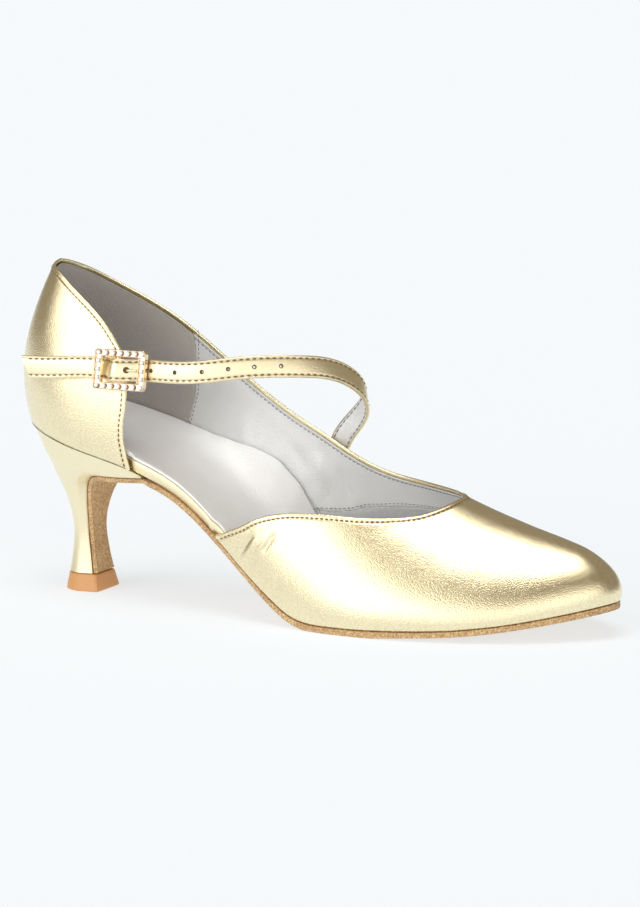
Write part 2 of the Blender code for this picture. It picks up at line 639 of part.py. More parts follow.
def build_heel(mat, collection):
    table = np.array(HEEL_ROWS)
    t = np.arange(len(table), dtype=float)
    fine = np.concatenate([np.arange(0.0, 4.0, 1.0), np.arange(4.0, t[-1] + 0.01, 0.5)])
    smooth = [spline(t, table[:, k]) for k in range(7)]
    rings = []
    for level in fine:
        row = [float(c(level)) for c in smooth]
        rings.append(heel_section(row, float(soft_step(level, 6.0, 10.5))))
    rings.append(seat_ring())
    points, faces = loft(rings)
    count = len(rings[0])
    # the seat is closed by strips across, so that it follows the curve of the shoe's bottom
    faces = faces[:-1]
    base = len(points) - count
    for i in range(1, 10):
        faces.append((base + i, base + i + 1, base + count - i - 1, base + count - i))
    faces.append((base, base + 1, base + count - 1))
    faces.append(tuple(base + i for i in range(10, 15)))
    mesh = finish_mesh("heel", to_metres(points), [tuple(f) for f in faces])
    return place("heel", mesh, mat, collection)


def build_heel_tip(mat, collection):
    rings = []
    for rear_x, z, front_x, half, front_half in TIP_ROWS:
        rings.append(heel_section((rear_x, z, front_x, z, half, front_half, half), 0.0))
    points, faces = loft(rings)
    return place("heel_tip", finish_mesh("heel_tip", to_metres(points), faces), mat, collection)


def strap_table():
    """Rows of the strap's centre line, with the stretch in the buckle placed from its centre."""
    cx, cy, cz = BUCKLE_CENTRE
    passing = [(cx + forward * BUCKLE_LONG, cy + inward * BUCKLE_DEEP, cz, 0.0, -1.0, outward)
               for forward, inward, outward in STRAP_BUCKLE_ROWS]
    return np.concatenate([STRAP_TAIL_ROWS, passing, STRAP_ROWS])


def strap_frames(count):
    table = strap_table()
    length = np.concatenate([[0.0], np.cumsum(np.linalg.norm(np.diff(table[:, :3], axis=0), axis=1))])
    curves = [spline(length, table[:, k]) for k in range(6)]
    frames = []
    for s in np.linspace(0.0, length[-1], count):
        centre = np.array([float(c(s)) for c in curves[:3]])
        ahead = np.array([float(c(s + 0.1)) for c in curves[:3]])
        behind = np.array([float(c(s - 0.1)) for c in curves[:3]])
        along = ahead - behind
        along = along / np.linalg.norm(along)
        out = np.array([float(c(s)) for c in curves[3:]])
        out = out - along * float(out @ along)
        out = out / np.linalg.norm(out)
        frames.append((s, centre, along, out, np.cross(along, out)))
    return frames


def cylinder(name, centre, axis, diameter, length, sides, collection):
    """Closed round rod along an axis, in millimetres."""
    axis = np.asarray(axis, float) / np.linalg.norm(axis)
    helper = np.array([0.0, 0.0, 1.0]) if abs(axis[2]) < 0.9 else np.array([1.0, 0.0, 0.0])
    u = np.cross(axis, helper)
    u = u / np.linalg.norm(u)
    v = np.cross(axis, u)
    rings = []
    for end in (-0.5, 0.5):
        base = np.asarray(centre, float) + axis * end * length
        angles = np.arange(sides) * 2 * math.pi / sides
        rings.append(np.array([base + diameter / 2 * (u * math.cos(a) + v * math.sin(a))
                               for a in angles]))
    points, faces = loft(rings)
    mesh = finish_mesh(name, to_metres(points), faces)
    obj = bpy.data.objects.new(name, mesh)
    collection.objects.link(obj)
    return obj


def strap_at(x):
    """Frame of the strap where its centre line passes a given x on the buckle side."""
    frames = strap_frames(400)
    near = [f for f in frames if f[1][1] < 2.0]
    return min(near, key=lambda f: abs(f[1][0] - x))


def build_strap(mat, collection, cutters):
    frames = strap_frames(60)
    rings = []
    for s, centre, along, out, across in frames:
        half = STRAP_HALF
        # the tail's end is cut at a slant, shorter along its lower edge
        slant = max(0.0, 1.0 - s / TAIL_LENGTH) * TAIL_SLANT
        ring = []
        for w, n in ((-1, -0.5), (-0.33, -0.5), (0.33, -0.5), (1, -0.5),
                     (1, 0.5), (0.33, 0.5), (-0.33, 0.5), (-1, 0.5)):
            shift = along * slant * (0.5 + 0.5 * w)
            ring.append(centre + across * w * half + out * n * STRAP_THICK + shift)
        rings.append(np.array(ring))
    points, faces = loft(rings)
    strap = place("strap", finish_mesh("strap", to_metres(points), faces), mat, collection)
    punched = [(x, HOLE_DIAMETER) for x in HOLE_X]
    punched.append((BUCKLE_CENTRE[0] + PRONG_HOLE_AT, PRONG_HOLE_DIAMETER))
    for k, (x, wide) in enumerate(punched):
        s, centre, along, out, across = strap_at(x)
        cutter = cylinder("hole_cutter_%d" % k, centre, out, wide, 3 * STRAP_THICK, 10, cutters)
        cutter.hide_render = True
        cutter.display_type = "WIRE"
        cut = strap.modifiers.new("hole_%d" % k, "BOOLEAN")
        cut.operation = "DIFFERENCE"
        cut.solver = "EXACT"
        cut.object = cutter
    return strap


def buckle_place(long, tall, deep):
    """Point in the buckle's own plane: along the shoe, up, and outward from the quarter."""
    tilt = math.radians(BUCKLE_TILT)
    up = np.array([0.0, math.sin(tilt), math.cos(tilt)])
    out = np.array([0.0, -math.cos(tilt), math.sin(tilt)])
    return np.array(BUCKLE_CENTRE) + np.array([1.0, 0.0, 0.0]) * long + up * tall + out * deep


def rounded_ring(half_long, half_tall, radius, deep, steps=3):
    ring = []
    for sx, sz, start in ((1, 1, 0.0), (-1, 1, 90.0), (-1, -1, 180.0), (1, -1, 270.0)):
        for k in range(steps + 1):
            a = math.radians(start + 90.0 * k / steps)
            ring.append(buckle_place(sx * (half_long - radius) + radius * math.cos(a),
                                     sz * (half_tall - radius) + radius * math.sin(a), deep))
    return np.array(ring)


def build_buckle_frame(mat, collection):
    """Frame section swept round the window: outer rim, crystal channel, inner rim."""
    half_l, half_t = BUCKLE_LONG / 2, BUCKLE_TALL / 2
    wide_l = half_l - WINDOW_LONG / 2
    wide_t = half_t - WINDOW_TALL / 2
    low, high = -BUCKLE_DEEP / 2, BUCKLE_DEEP / 2
    floor = high - CHANNEL_DEEP
    share = CHANNEL_WIDE / 2 / min(wide_l, wide_t)
    section = ((0.0, low), (0.0, high), (0.5 - share, high), (0.5 - share, floor),
               (0.5 + share, floor), (0.5 + share, high), (1.0, high), (1.0, low))
    rings = []
    for part, deep in section:
        radius = RIM_RADIUS + (WINDOW_RADIUS - RIM_RADIUS) * part
        rings.append(rounded_ring(half_l - wide_l * part, half_t - wide_t * part, radius, deep))
    count = len(rings[0])
    points = np.concatenate(rings)
    faces = []
    for k in range(len(rings)):
        low_base = k * count
        high_base = ((k + 1) % len(rings)) * count
        for i in range(count):
            j = (i + 1) % count
            faces.append((low_base + i, low_base + j, high_base + j, high_base + i))
    mesh = finish_mesh("buckle_frame", to_metres(points), faces)
    frame = place("buckle_frame", mesh, mat, collection)
    upright = buckle_place(0, 1, 0) - buckle_place(0, 0, 0)
    bar = cylinder("bar_union", buckle_place(BAR_AT, 0.0, BAR_DEEP), upright, BAR_DIAMETER,
                   WINDOW_TALL + 2.6, 12, bpy.data.collections["cutters"])
    bar.hide_render = True
    bar.display_type = "WIRE"
    join = frame.modifiers.new("centre_bar", "BOOLEAN")
    join.operation = "UNION"
    join.solver = "EXACT"
    join.object = bar
    return frame


def build_crystals(mat, collection):
    mesh = None
    half_l = (BUCKLE_LONG + WINDOW_LONG) / 4
    half_t = (BUCKLE_TALL + WINDOW_TALL) / 4
    spots = []
    for k in range(CRYSTALS_LONG):
        spots.append((-half_l + 2 * half_l * k / (CRYSTALS_LONG - 1), half_t))
        spots.append((-half_l + 2 * half_l * k / (CRYSTALS_LONG - 1), -half_t))
    for k in range(1, CRYSTALS_TALL - 1):
        spots.append((half_l, -half_t + 2 * half_t * k / (CRYSTALS_TALL - 1)))
        spots.append((-half_l, -half_t + 2 * half_t * k / (CRYSTALS_TALL - 1)))
    radius = CRYSTAL_DIAMETER / 2
    floor = BUCKLE_DEEP / 2 - CHANNEL_DEEP + FIT / 2
    for number, (long, tall) in enumerate(sorted(spots)):
        rings = []
        for size, deep in CRYSTAL_ROWS:
            angles = np.arange(8) * math.pi / 4 + math.pi / 8
            rings.append(np.array([buckle_place(long + size * radius * math.cos(a),
                                                tall + size * radius * math.sin(a), floor + deep)
                                   for a in angles]))
        points, faces = loft(rings)
        name = "crystal_%02d" % (number + 1)
        mesh = finish_mesh(name, to_metres(points), faces)
        place(name, mesh, mat, collection)


def ribbon(name, path, outs, half, thick, mat, collection):
    """Flat band along a path in the buckle's plane, with its width up the buckle."""
    up = buckle_place(0, 1, 0) - buckle_place(0, 0, 0)
    rings = []
    for centre, out in zip(path, outs):
        rings.append(np.array([centre + up * w * half + out * n * thick
                               for w, n in ((-1, -0.5), (1, -0.5), (1, 0.5), (-1, 0.5))]))
    points, faces = loft(rings)
    return place(name, finish_mesh(name, to_metres(points), faces), mat, collection)


def build_buckle_tab(mat, collection):
    """Short leather loop that holds the buckle's centre bar to the quarter."""
    radius = BAR_DIAMETER / 2 + FIT + TAB_THICK / 2
    # the loop starts behind the bar and runs round its front
    route = [(BAR_AT - back, -inward) for back, inward in TAB_ROWS]
    for angle in np.linspace(0.0, math.radians(205), 9):
        route.append((BAR_AT + radius * math.sin(angle), BAR_DEEP - radius * math.cos(angle)))
    path = [buckle_place(a, 0.0, b) for a, b in route]
    outs = []
    across = buckle_place(0, 1, 0) - buckle_place(0, 0, 0)
    for i in range(len(path)):
        a = path[max(i - 1, 0)]
        b = path[min(i + 1, len(path) - 1)]
        along = (b - a) / np.linalg.norm(b - a)
        outs.append(np.cross(across, along))
    return ribbon("buckle_tab", path, outs, TAB_HALF, TAB_THICK, mat, collection)


def build_prong(mat, collection):
    route = [(ahead * WINDOW_LONG / 2, out * BUCKLE_DEEP / 2) for ahead, out in PRONG_ROWS]
    curve = bpy.data.curves.new("buckle_prong", "CURVE")
    curve.dimensions = "3D"
    curve.bevel_depth = PRONG_DIAMETER / 2 * MM
    curve.bevel_resolution = 2
    curve.use_fill_caps = True
    line = curve.splines.new("POLY")
    line.points.add(len(route) - 1)
    for k, (long, deep) in enumerate(route):
        line.points[k].co = (*to_metres(buckle_place(long, 0.0, deep)), 1.0)
    obj = bpy.data.objects.new("buckle_prong", curve)
    collection.objects.link(obj)
    curve.materials.append(mat)
    return obj


def main():
    for obj in list(bpy.data.objects):
        bpy.data.objects.remove(obj)
    shoe = bpy.data.collections.new(COLLECTION_NAME)
    cutters = bpy.data.collections.new("cutters")
    bpy.context.scene.collection.children.link(shoe)
    bpy.context.scene.collection.children.link(cutters)
    gold_leather = material("gold_leather", (0.80, 0.68, 0.40), 0.34, 0.85)
    heel_gold = material("gold_heel_cover", (0.80, 0.68, 0.40), 0.32, 0.85)
    board_gold = material("gold_board_cover", (0.82, 0.70, 0.43), 0.36, 0.85)
    strap_gold = material("gold_strap", (0.80, 0.68, 0.40), 0.36, 0.85)
    tab_gold = material("gold_tab", (0.72, 0.58, 0.32), 0.4, 0.8)
    silver = material("silver_sock", (0.70, 0.71, 0.73), 0.42, 0.5)
    suede = material("tan_suede", (0.40, 0.23, 0.10), 0.95, 0.0)
    plastic = material("tan_heel_tip", (0.72, 0.38, 0.16), 0.4, 0.0)
    metal = material("rose_gold_metal", (0.92, 0.72, 0.52), 0.2, 1.0)
    prong_metal = material("rose_gold_prong", (0.85, 0.60, 0.42), 0.22, 1.0)
    stone = material("crystal", (0.95, 0.96, 0.98), 0.05, 0.0)
    build_upper(gold_leather, shoe)
    build_outsole(suede, shoe)
    build_board(board_gold, shoe)
    build_sock(silver, shoe)
    build_heel(heel_gold, shoe)
    build_heel_tip(plastic, shoe)
    build_strap(strap_gold, shoe, cutters)
    build_buckle_frame(metal, shoe)
    build_crystals(stone, shoe)
    build_buckle_tab(tab_gold, shoe)
    build_prong(prong_metal, shoe)


main()
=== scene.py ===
import math

import bmesh
import bpy
import numpy as np
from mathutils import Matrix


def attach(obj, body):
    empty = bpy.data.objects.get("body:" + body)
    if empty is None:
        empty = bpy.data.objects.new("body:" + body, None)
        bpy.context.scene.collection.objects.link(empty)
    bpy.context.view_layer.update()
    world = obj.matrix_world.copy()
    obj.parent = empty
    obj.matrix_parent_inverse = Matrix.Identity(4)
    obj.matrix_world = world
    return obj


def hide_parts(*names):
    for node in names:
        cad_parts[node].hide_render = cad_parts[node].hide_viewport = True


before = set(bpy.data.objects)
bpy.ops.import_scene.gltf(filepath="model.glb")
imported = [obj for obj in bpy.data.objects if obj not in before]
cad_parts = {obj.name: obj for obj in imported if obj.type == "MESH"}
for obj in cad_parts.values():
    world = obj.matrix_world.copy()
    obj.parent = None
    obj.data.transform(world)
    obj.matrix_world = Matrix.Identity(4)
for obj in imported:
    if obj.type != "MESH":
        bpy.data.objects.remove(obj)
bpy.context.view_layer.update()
print("frame loaded:", len(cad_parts), "nodes")

# sizes are in millimetres on the last; toMetres() puts them in the frame's metres
mm = 0.001
outer, inner = 0, 1
sideSign = (-1.0, 1.0)

shoe = {
    "length": 240.0,
    "ballWidth": 75.0,
    "heelHeight": 60.0,
    "wall": 1.6,
    "gap": 0.3,
}


def sized(rows, kinds):
    # table of shares as millimetres; kinds says which size each column is a share of
    sizeOf = {"x": shoe["length"], "y": shoe["ballWidth"], "z": shoe["heelHeight"], "-": 1.0}
    return np.array(rows, float) * [sizeOf[kind] for kind in kinds]


last = {
    # plan outline at the feather line: x, outer half width, inner half width
    "outline": sized((
        (-0.08, 0.0, 0.0), (-0.0737, 0.085, 0.085), (-0.0542, 0.184, 0.184),
        (-0.0208, 0.269, 0.267), (0.025, 0.328, 0.323), (0.0917, 0.352, 0.331),
        (0.1667, 0.36, 0.301), (0.25, 0.363, 0.272), (0.3333, 0.395, 0.285),
        (0.4167, 0.445, 0.355), (0.5, 0.499, 0.445), (0.5708, 0.507, 0.493),
        (0.6417, 0.483, 0.496), (0.7167, 0.427, 0.456), (0.7875, 0.339, 0.381),
        (0.8458, 0.232, 0.272), (0.8896, 0.112, 0.136), (0.907, 0.0, 0.0)), "xyy"),
    # height of the feather line: seat, arch, tread and toe spring
    "feather": sized((
        (-0.0917, 1.093), (-0.0417, 1.05), (0.0208, 0.987), (0.0833, 0.927),
        (0.1417, 0.867), (0.1917, 0.79), (0.2333, 0.703), (0.2667, 0.608), (0.3, 0.497),
        (0.3333, 0.378), (0.3667, 0.263), (0.4, 0.162), (0.4333, 0.082),
        (0.4667, 0.047), (0.5, 0.042), (0.5583, 0.045), (0.6167, 0.053), (0.6875, 0.07),
        (0.7708, 0.11), (0.8458, 0.165), (0.9125, 0.22)), "xz"),
    # height of the instep ridge
    "ridge": sized((
        (-0.05, 2.2), (0.0, 2.225), (0.0625, 2.208), (0.125, 2.15), (0.25, 1.933),
        (0.375, 1.583), (0.4792, 1.225), (0.5708, 0.958), (0.625, 0.833),
        (0.6875, 0.725), (0.75, 0.643), (0.8313, 0.55)), "xz"),
    # cross-sections: feather x, ridge x, ridge half width, lean, rise, end drop, end reach
    "sections": sized((
        (-0.08, -0.015, 0.0, 16.0, 0.45, 62.0, 0.45),
        (-0.0542, -0.0042, 0.093, 15.0, 0.433, 64.0, 0.45),
        (0.025, 0.0417, 0.147, 9.0, 0.4, 70.0, 0.433),
        (0.125, 0.125, 0.147, 4.0, 0.4, 66.0, 0.433),
        (0.25, 0.25, 0.12, 2.0, 0.433, 56.0, 0.433),
        (0.375, 0.375, 0.067, 8.0, 0.4, 40.0, 0.4),
        (0.4792, 0.4833, 0.02, 16.0, 0.317, 20.0, 0.333),
        (0.5708, 0.575, 0.0, 18.0, 0.25, 6.0, 0.283),
        (0.6667, 0.6667, 0.0, 16.0, 0.2, 0.0, 0.25),
        (0.75, 0.7396, 0.0, 15.0, 0.167, 0.0, 0.217),
        (0.8333, 0.7958, 0.0, 18.0, 0.15, 0.0, 0.183),
        (0.8896, 0.825, 0.0, 24.0, 0.147, 0.0, 0.167),
        (0.907, 0.8313, 0.0, 28.0, 0.147, 0.0, 0.167)), "xxy-z-z"),
    # share of the length over which the flat of the ridge closes to a line
    "ridgeCloses": (0.46, 0.60),
}

edges = {
    # top edges of the upper: foot share, top share, girth share
    "innerTop": (
        (0.0, 0.0, 0.885), (0.03, 0.03, 0.867), (0.074, 0.074, 0.825), (0.133, 0.133, 0.757),
        (0.185, 0.185, 0.705), (0.232, 0.232, 0.658), (0.269, 0.269, 0.612), (0.312, 0.312, 0.560),
        (0.353, 0.353, 0.530), (0.407, 0.407, 0.530), (0.455, 0.455, 0.550), (0.489, 0.489, 0.567),
        (0.517, 0.517, 0.577), (0.548, 0.548, 0.586), (0.580, 0.580, 0.603), (0.616, 0.618, 0.650),
        (0.652, 0.662, 0.740), (0.678, 0.694, 0.842), (0.699, 0.712, 0.926), (0.717, 0.7210, 0.982),
        (0.731, 0.7235, 1.0)),
    "outerTop": (
        (0.731, 0.7235, 1.0), (0.715, 0.7210, 0.960), (0.693, 0.7120, 0.850),
        (0.670, 0.691, 0.722), (0.648, 0.662, 0.634), (0.618, 0.622, 0.562),
        (0.580, 0.580, 0.508), (0.535, 0.535, 0.450), (0.500, 0.500, 0.386),
        (0.465, 0.465, 0.292), (0.440, 0.440, 0.200), (0.416, 0.416, 0.107),
        (0.404, 0.404, 0.055), (0.393, 0.393, 0.012)),
    "quarterTop": (
        (0.0, 0.0, 0.885), (0.045, 0.040, 0.872), (0.095, 0.086, 0.842), (0.142, 0.129, 0.782),
        (0.184, 0.172, 0.712), (0.224, 0.207, 0.642), (0.255, 0.2345, 0.560)),
    # front edge of the outer quarter: girth share, length share
    "quarterFront": (
        (0.0, 0.255), (0.07, 0.2495), (0.14, 0.2455), (0.21, 0.2455), (0.29, 0.2485),
        (0.38, 0.2495), (0.47, 0.2460), (0.56, 0.2345)),
}


def spline(xs, ys, first=None, last=None):
    # smooth curve through the values, natural at an end that has no given slope
    xs = np.asarray(xs, float)
    ys = np.asarray(ys, float)
    count = len(xs)
    step = np.diff(xs)
    rise = np.diff(ys) / step
    matrix = np.zeros((count, count))
    right = np.zeros(count)
    matrix[0, 0] = 1.0
    matrix[-1, -1] = 1.0
    if first is not None:
        matrix[0, :2] = 2 * step[0], step[0]
        right[0] = 6 * (rise[0] - first)
    if last is not None:
        matrix[-1, -2:] = step[-1], 2 * step[-1]
        right[-1] = 6 * (last - rise[-1])
    for i in range(1, count - 1):
        matrix[i, i - 1:i + 2] = step[i - 1], 2 * (step[i - 1] + step[i]), step[i]
        right[i] = 6 * (rise[i] - rise[i - 1])
    bend = np.linalg.solve(matrix, right)

    def value(x):
        x = np.asarray(x, float)
        i = np.clip(np.searchsorted(xs, x) - 1, 0, count - 2)
        a = (xs[i + 1] - x) / step[i]
        b = (x - xs[i]) / step[i]
        curved = ((a ** 3 - a) * bend[i] + (b ** 3 - b) * bend[i + 1]) * step[i] ** 2 / 6
        return a * ys[i] + b * ys[i + 1] + curved
    return value


def softStep(x, low, high):
    t = np.clip((np.asarray(x, float) - low) / (high - low), 0.0, 1.0)
    return t * t * (3 - 2 * t)


outlineTable = last["outline"]
middleLine = np.column_stack([outlineTable[:, 0], outlineTable[:, 1:].mean(axis=1)])
runAlong = np.concatenate([[0.0], np.cumsum(np.hypot(*np.diff(middleLine, axis=0).T))])
runAlong = runAlong / runAlong[-1]
outlineX = spline(runAlong, outlineTable[:, 0], 0.0, 0.0)
outlineY = (spline(runAlong, outlineTable[:, 1]), spline(runAlong, outlineTable[:, 2]))
featherZ = spline(*last["feather"].T)
ridgeZ = spline(*last["ridge"].T)
shareGrid = np.linspace(0.0, 1.0, 2001)
gridX = outlineX(shareGrid)
sectionTable = last["sections"]
sectionShare = np.interp(sectionTable[:, 0], gridX, shareGrid)
sectionShare[0] = 0.0
sectionShare[-1] = 1.0
ridgeX, leanAt, riseAt, dropAt, reachAt = [
    spline(sectionShare, sectionTable[:, k], None, 0.0) for k in (1, 3, 4, 5, 6)]
ridgeHalf = spline(sectionShare, sectionTable[:, 2])


def outlineHalf(side, x):
    return np.interp(x, gridX, outlineY[side](shareGrid))


def shareOf(x):
    return np.interp(x, gridX, shareGrid)


def planPoint(side, share):
    folded = np.where(share > 1, 2 - share, np.abs(share))
    flip = np.where((share > 1) | (share < 0), -1.0, 1.0)
    return np.stack([outlineX(folded), flip * sideSign[side] * outlineY[side](folded)], -1)


def planOutward(side, share):
    share = np.asarray(share, float)
    along = planPoint(side, share + 1e-4) - planPoint(side, share - 1e-4)
    out = np.stack([-sideSign[side] * along[..., 1], sideSign[side] * along[..., 0]], -1)
    return out / np.linalg.norm(out, axis=-1, keepdims=True)


def lastPoint(side, share, girth):
    # share 0 at the heel to 1 at the toe, girth 0 at the feather line to 1 at the ridge
    share = np.asarray(share, float)
    girth = np.asarray(girth, float)[..., None]
    plan = planPoint(side, share)
    out = planOutward(side, share)
    foot = np.stack([plan[..., 0], plan[..., 1], featherZ(plan[..., 0])], -1)
    rx = ridgeX(share)
    half = np.maximum(ridgeHalf(share), 0.0) * (1 - softStep(share, *last["ridgeCloses"]))
    top = np.stack([rx, sideSign[side] * half, ridgeZ(rx)], -1)
    slope = (ridgeZ(rx + 0.05) - ridgeZ(rx - 0.05)) / 0.1
    lean = np.radians(leanAt(share))
    drop = np.radians(dropAt(share))
    start = np.stack([out[..., 0] * np.sin(lean), out[..., 1] * np.sin(lean), np.cos(lean)], -1)
    end = np.stack([out[..., 0] * np.cos(drop), out[..., 1] * np.cos(drop),
                    slope * out[..., 0] * np.cos(drop) - np.sin(drop)], -1)
    first = foot + start * riseAt(share)[..., None]
    second = top + end * reachAt(share)[..., None]
    rest = 1 - girth
    return (rest ** 3 * foot + 3 * rest ** 2 * girth * first
            + 3 * rest * girth ** 2 * second + girth ** 3 * top)


def lastNormal(side, share, girth):
    # outward normal of the last, by small steps along it and up it
    share = np.asarray(share, float)
    girth = np.asarray(girth, float)
    low = np.clip(girth - 0.004, 0.0, 1.0)
    high = np.clip(girth + 0.004, 0.0, 1.0)
    centred = np.clip(share, 0.0006, 0.9994)
    along = lastPoint(side, centred + 5e-4, girth) - lastPoint(side, centred - 5e-4, girth)
    up = lastPoint(side, centred, high) - lastPoint(side, centred, low)
    normal = np.cross(up, along) if side == inner else np.cross(along, up)
    return normal / np.linalg.norm(normal, axis=-1, keepdims=True)


heelTip = {
    # rear x, height, front x, half width, front half width
    "rows": sized((
        (-0.0262, 0.0, 0.0442, 0.123, 0.115), (-0.0246, 0.037, 0.0425, 0.116, 0.108),
        (-0.0208, 0.107, 0.0392, 0.103, 0.095)), "xzxyy"),
    # height and inset of each ring, drawn in at the ground face and at the top
    "rings": ((0.0, 0.35), (0.12, 0.12), (0.4, 0.0), (1.4, 0.0), (2.6, 0.0), (3.8, 0.0), (5.0, 0.0),
              (6.0, 0.0), (6.3, 0.08), (6.4, 0.3)),
    "corner": 0.9,
}
# the frame's origin is the middle of the tip's ground face
heelTipX = (heelTip["rows"][0][0] + heelTip["rows"][0][2]) / 2


def toMetres(points):
    return (np.asarray(points, float) - np.array([heelTipX, 0.0, 0.0])) * mm


def dense(points, factor):
    # polyline with each of its steps cut into equal parts
    points = np.asarray(points, float)
    t = np.arange(len(points))
    fine = np.linspace(0, len(points) - 1, (len(points) - 1) * factor + 1)
    return np.column_stack([np.interp(fine, t, points[:, k]) for k in range(points.shape[1])])


def unit(v):
    v = np.asarray(v, float)
    return v / np.maximum(np.linalg.norm(v, axis=-1, keepdims=True), 1e-12)


def tangents(points):
    ahead = np.concatenate([points[1:], points[-1:]])
    behind = np.concatenate([points[:1], points[:-1]])
    return unit(ahead - behind)


def makePiece(name, points, faces, materials, faceMaterial=None, merge=1e-6, turnOut=False,
              smoothAngle=42.0, values=None):
    # mesh object at the origin from points in millimetres on the last
    bm = bmesh.new()
    layers = {key: bm.verts.layers.float.new(key) for key in (values or {})}
    verts = [bm.verts.new(p) for p in toMetres(points)]
    for key, layer in layers.items():
        for vert, number in zip(verts, values[key]):
            vert[layer] = float(number)
    for k, corners in enumerate(faces):
        face = bm.faces.new([verts[i] for i in corners])
        face.smooth = True
        if faceMaterial is not None:
            face.material_index = int(faceMaterial[k])
    bmesh.ops.remove_doubles(bm, verts=bm.verts, dist=merge)
    bmesh.ops.dissolve_degenerate(bm, edges=bm.edges, dist=merge / 2)
    if turnOut:
        bmesh.ops.recalc_face_normals(bm, faces=bm.faces)
    mesh = bpy.data.meshes.new(name)
    bm.to_mesh(mesh)
    bm.free()
    for mat in materials:
        mesh.materials.append(mat)
    mesh.set_sharp_from_angle(angle=math.radians(smoothAngle))
    obj = bpy.data.objects.new(name, mesh)
    bpy.context.scene.collection.objects.link(obj)
    return obj


def ringFaces(ringCount, around, closedAround=True, start=0):
    # quads between rings that follow one another
    faces = []
    for k in range(ringCount - 1):
        low = start + k * around
        high = low + around
        for i in range(around if closedAround else around - 1):
            j = (i + 1) % around
            faces.append((low + i, low + j, high + j, high + i))
    return faces


def sweep(name, rings, materials, faceMaterial=None, **options):
    # closed tube through rings, each end filled
    around = len(rings[0])
    points = np.concatenate(rings)
    faces = ringFaces(len(rings), around)
    faces.append(tuple(reversed(range(around))))
    faces.append(tuple(range(len(points) - around, len(points))))
    if faceMaterial is not None:
        faceMaterial = list(faceMaterial) + [0, 0]
    return makePiece(name, points, faces, materials, faceMaterial, turnOut=True, **options)


camera = {
    "azimuth": 27.0,
    "elevation": 9.6,
    "roll": -0.5,
    "distance": 1350.0,
    "target": (100.6, 0.0, 57.9),
    "focalPixels": 3705.75,
    "imageHeight": 907.0,
}


def makeCamera():
    a, e, r = [math.radians(camera[k]) for k in ("azimuth", "elevation", "roll")]
    back = np.array([math.sin(a) * math.cos(e), -math.cos(a) * math.cos(e), math.sin(e)])
    right = np.array([math.cos(a), math.sin(a), 0.0])
    up = np.cross(back, right)
    turnedRight = right * math.cos(r) + up * math.sin(r)
    turnedUp = up * math.cos(r) - right * math.sin(r)
    place = toMetres(np.array(camera["target"]) + back * camera["distance"])
    data = bpy.data.cameras.new("camera")
    data.sensor_width = 36.0
    data.lens = data.sensor_width * camera["focalPixels"] / camera["imageHeight"]
    data.clip_start = 0.05
    data.clip_end = 60.0
    obj = bpy.data.objects.new("camera", data)
    bpy.context.scene.collection.objects.link(obj)
    matrix = obj.matrix_world.copy()
    for k in range(3):
        matrix[k][0], matrix[k][1], matrix[k][2], matrix[k][3] = (
            turnedRight[k], turnedUp[k], back[k], place[k])
    obj.matrix_world = matrix
    bpy.context.scene.camera = obj


makeCamera()
print("camera placed")

# finishes: colours in linear light, and the roughness of the upper's leather
finish = {
    "gold": (1.0, 0.872, 0.60),
    "goldRoughness": 0.20,
    "heelGold": (0.98, 0.88, 0.625),
    "tabGold": (0.66, 0.47, 0.17),
    "silver": (0.90, 0.905, 0.91),
    "heelLining": (0.46, 0.435, 0.405),
    "vampLining": (0.60, 0.605, 0.61),
    "sock": (0.93, 0.935, 0.94),
    "suede": (0.90, 0.50, 0.245),
    "tip": (0.72, 0.37, 0.15),
    "metal": (0.95, 0.76, 0.56),
    "prong": (0.92, 0.72, 0.50),
    "cutEdge": (0.34, 0.24, 0.14),
    "goldThread": (0.24, 0.14, 0.05),
    "silverThread": (0.16, 0.16, 0.17),
    # the leather's colour in the stitch grooves, as shares of its own: painted shade there, with the
    # dark of the stitch holes
    "seamPaintedShade": (0.34, 0.25, 0.14),
    "stone": (0.86, 0.88, 0.91),
    # painted flashes of the cut stones: dark and light reflections put into their colour
    "stonePaintedFlashes": ((0.62, 0.64, 0.68), (1.0, 1.0, 1.0)),
}


def newGroup(name, inputs, outputs):
    tree = bpy.data.node_groups.new(name, "ShaderNodeTree")
    for label, kind, value in inputs:
        socket = tree.interface.new_socket(name=label, in_out="INPUT", socket_type=kind)
        if value is not None:
            socket.default_value = value
    for label, kind in outputs:
        tree.interface.new_socket(name=label, in_out="OUTPUT", socket_type=kind)
    return tree, tree.nodes.new("NodeGroupInput"), tree.nodes.new("NodeGroupOutput")


def math2(tree, operation, a, b=None, c=None, clamp=False):
    node = tree.nodes.new("ShaderNodeMath")
    node.operation = operation
    node.use_clamp = clamp
    for k, value in enumerate((a, b, c)):
        if value is None:
            continue
        if hasattr(value, "is_linked"):
            tree.links.new(value, node.inputs[k])
        else:
            node.inputs[k].default_value = value
    return node.outputs[0]


def mixColour(tree, factor, a, b, blend="MIX"):
    node = tree.nodes.new("ShaderNodeMix")
    node.data_type = "RGBA"
    node.blend_type = blend
    for socket, value in ((node.inputs[0], factor), (node.inputs[6], a), (node.inputs[7], b)):
        if hasattr(value, "is_linked"):
            tree.links.new(value, socket)
        elif isinstance(value, (int, float)):
            socket.default_value = value
        else:
            socket.default_value = (*value[:3], 1.0)
    return node.outputs[2]


def noise(tree, vector, scale, detail=3.0, rough=0.55):
    node = tree.nodes.new("ShaderNodeTexNoise")
    node.inputs["Detail"].default_value = detail
    node.inputs["Roughness"].default_value = rough
    if hasattr(scale, "is_linked"):
        tree.links.new(scale, node.inputs["Scale"])
    else:
        node.inputs["Scale"].default_value = scale
    tree.links.new(vector, node.inputs["Vector"])
    return node.outputs["Fac"]


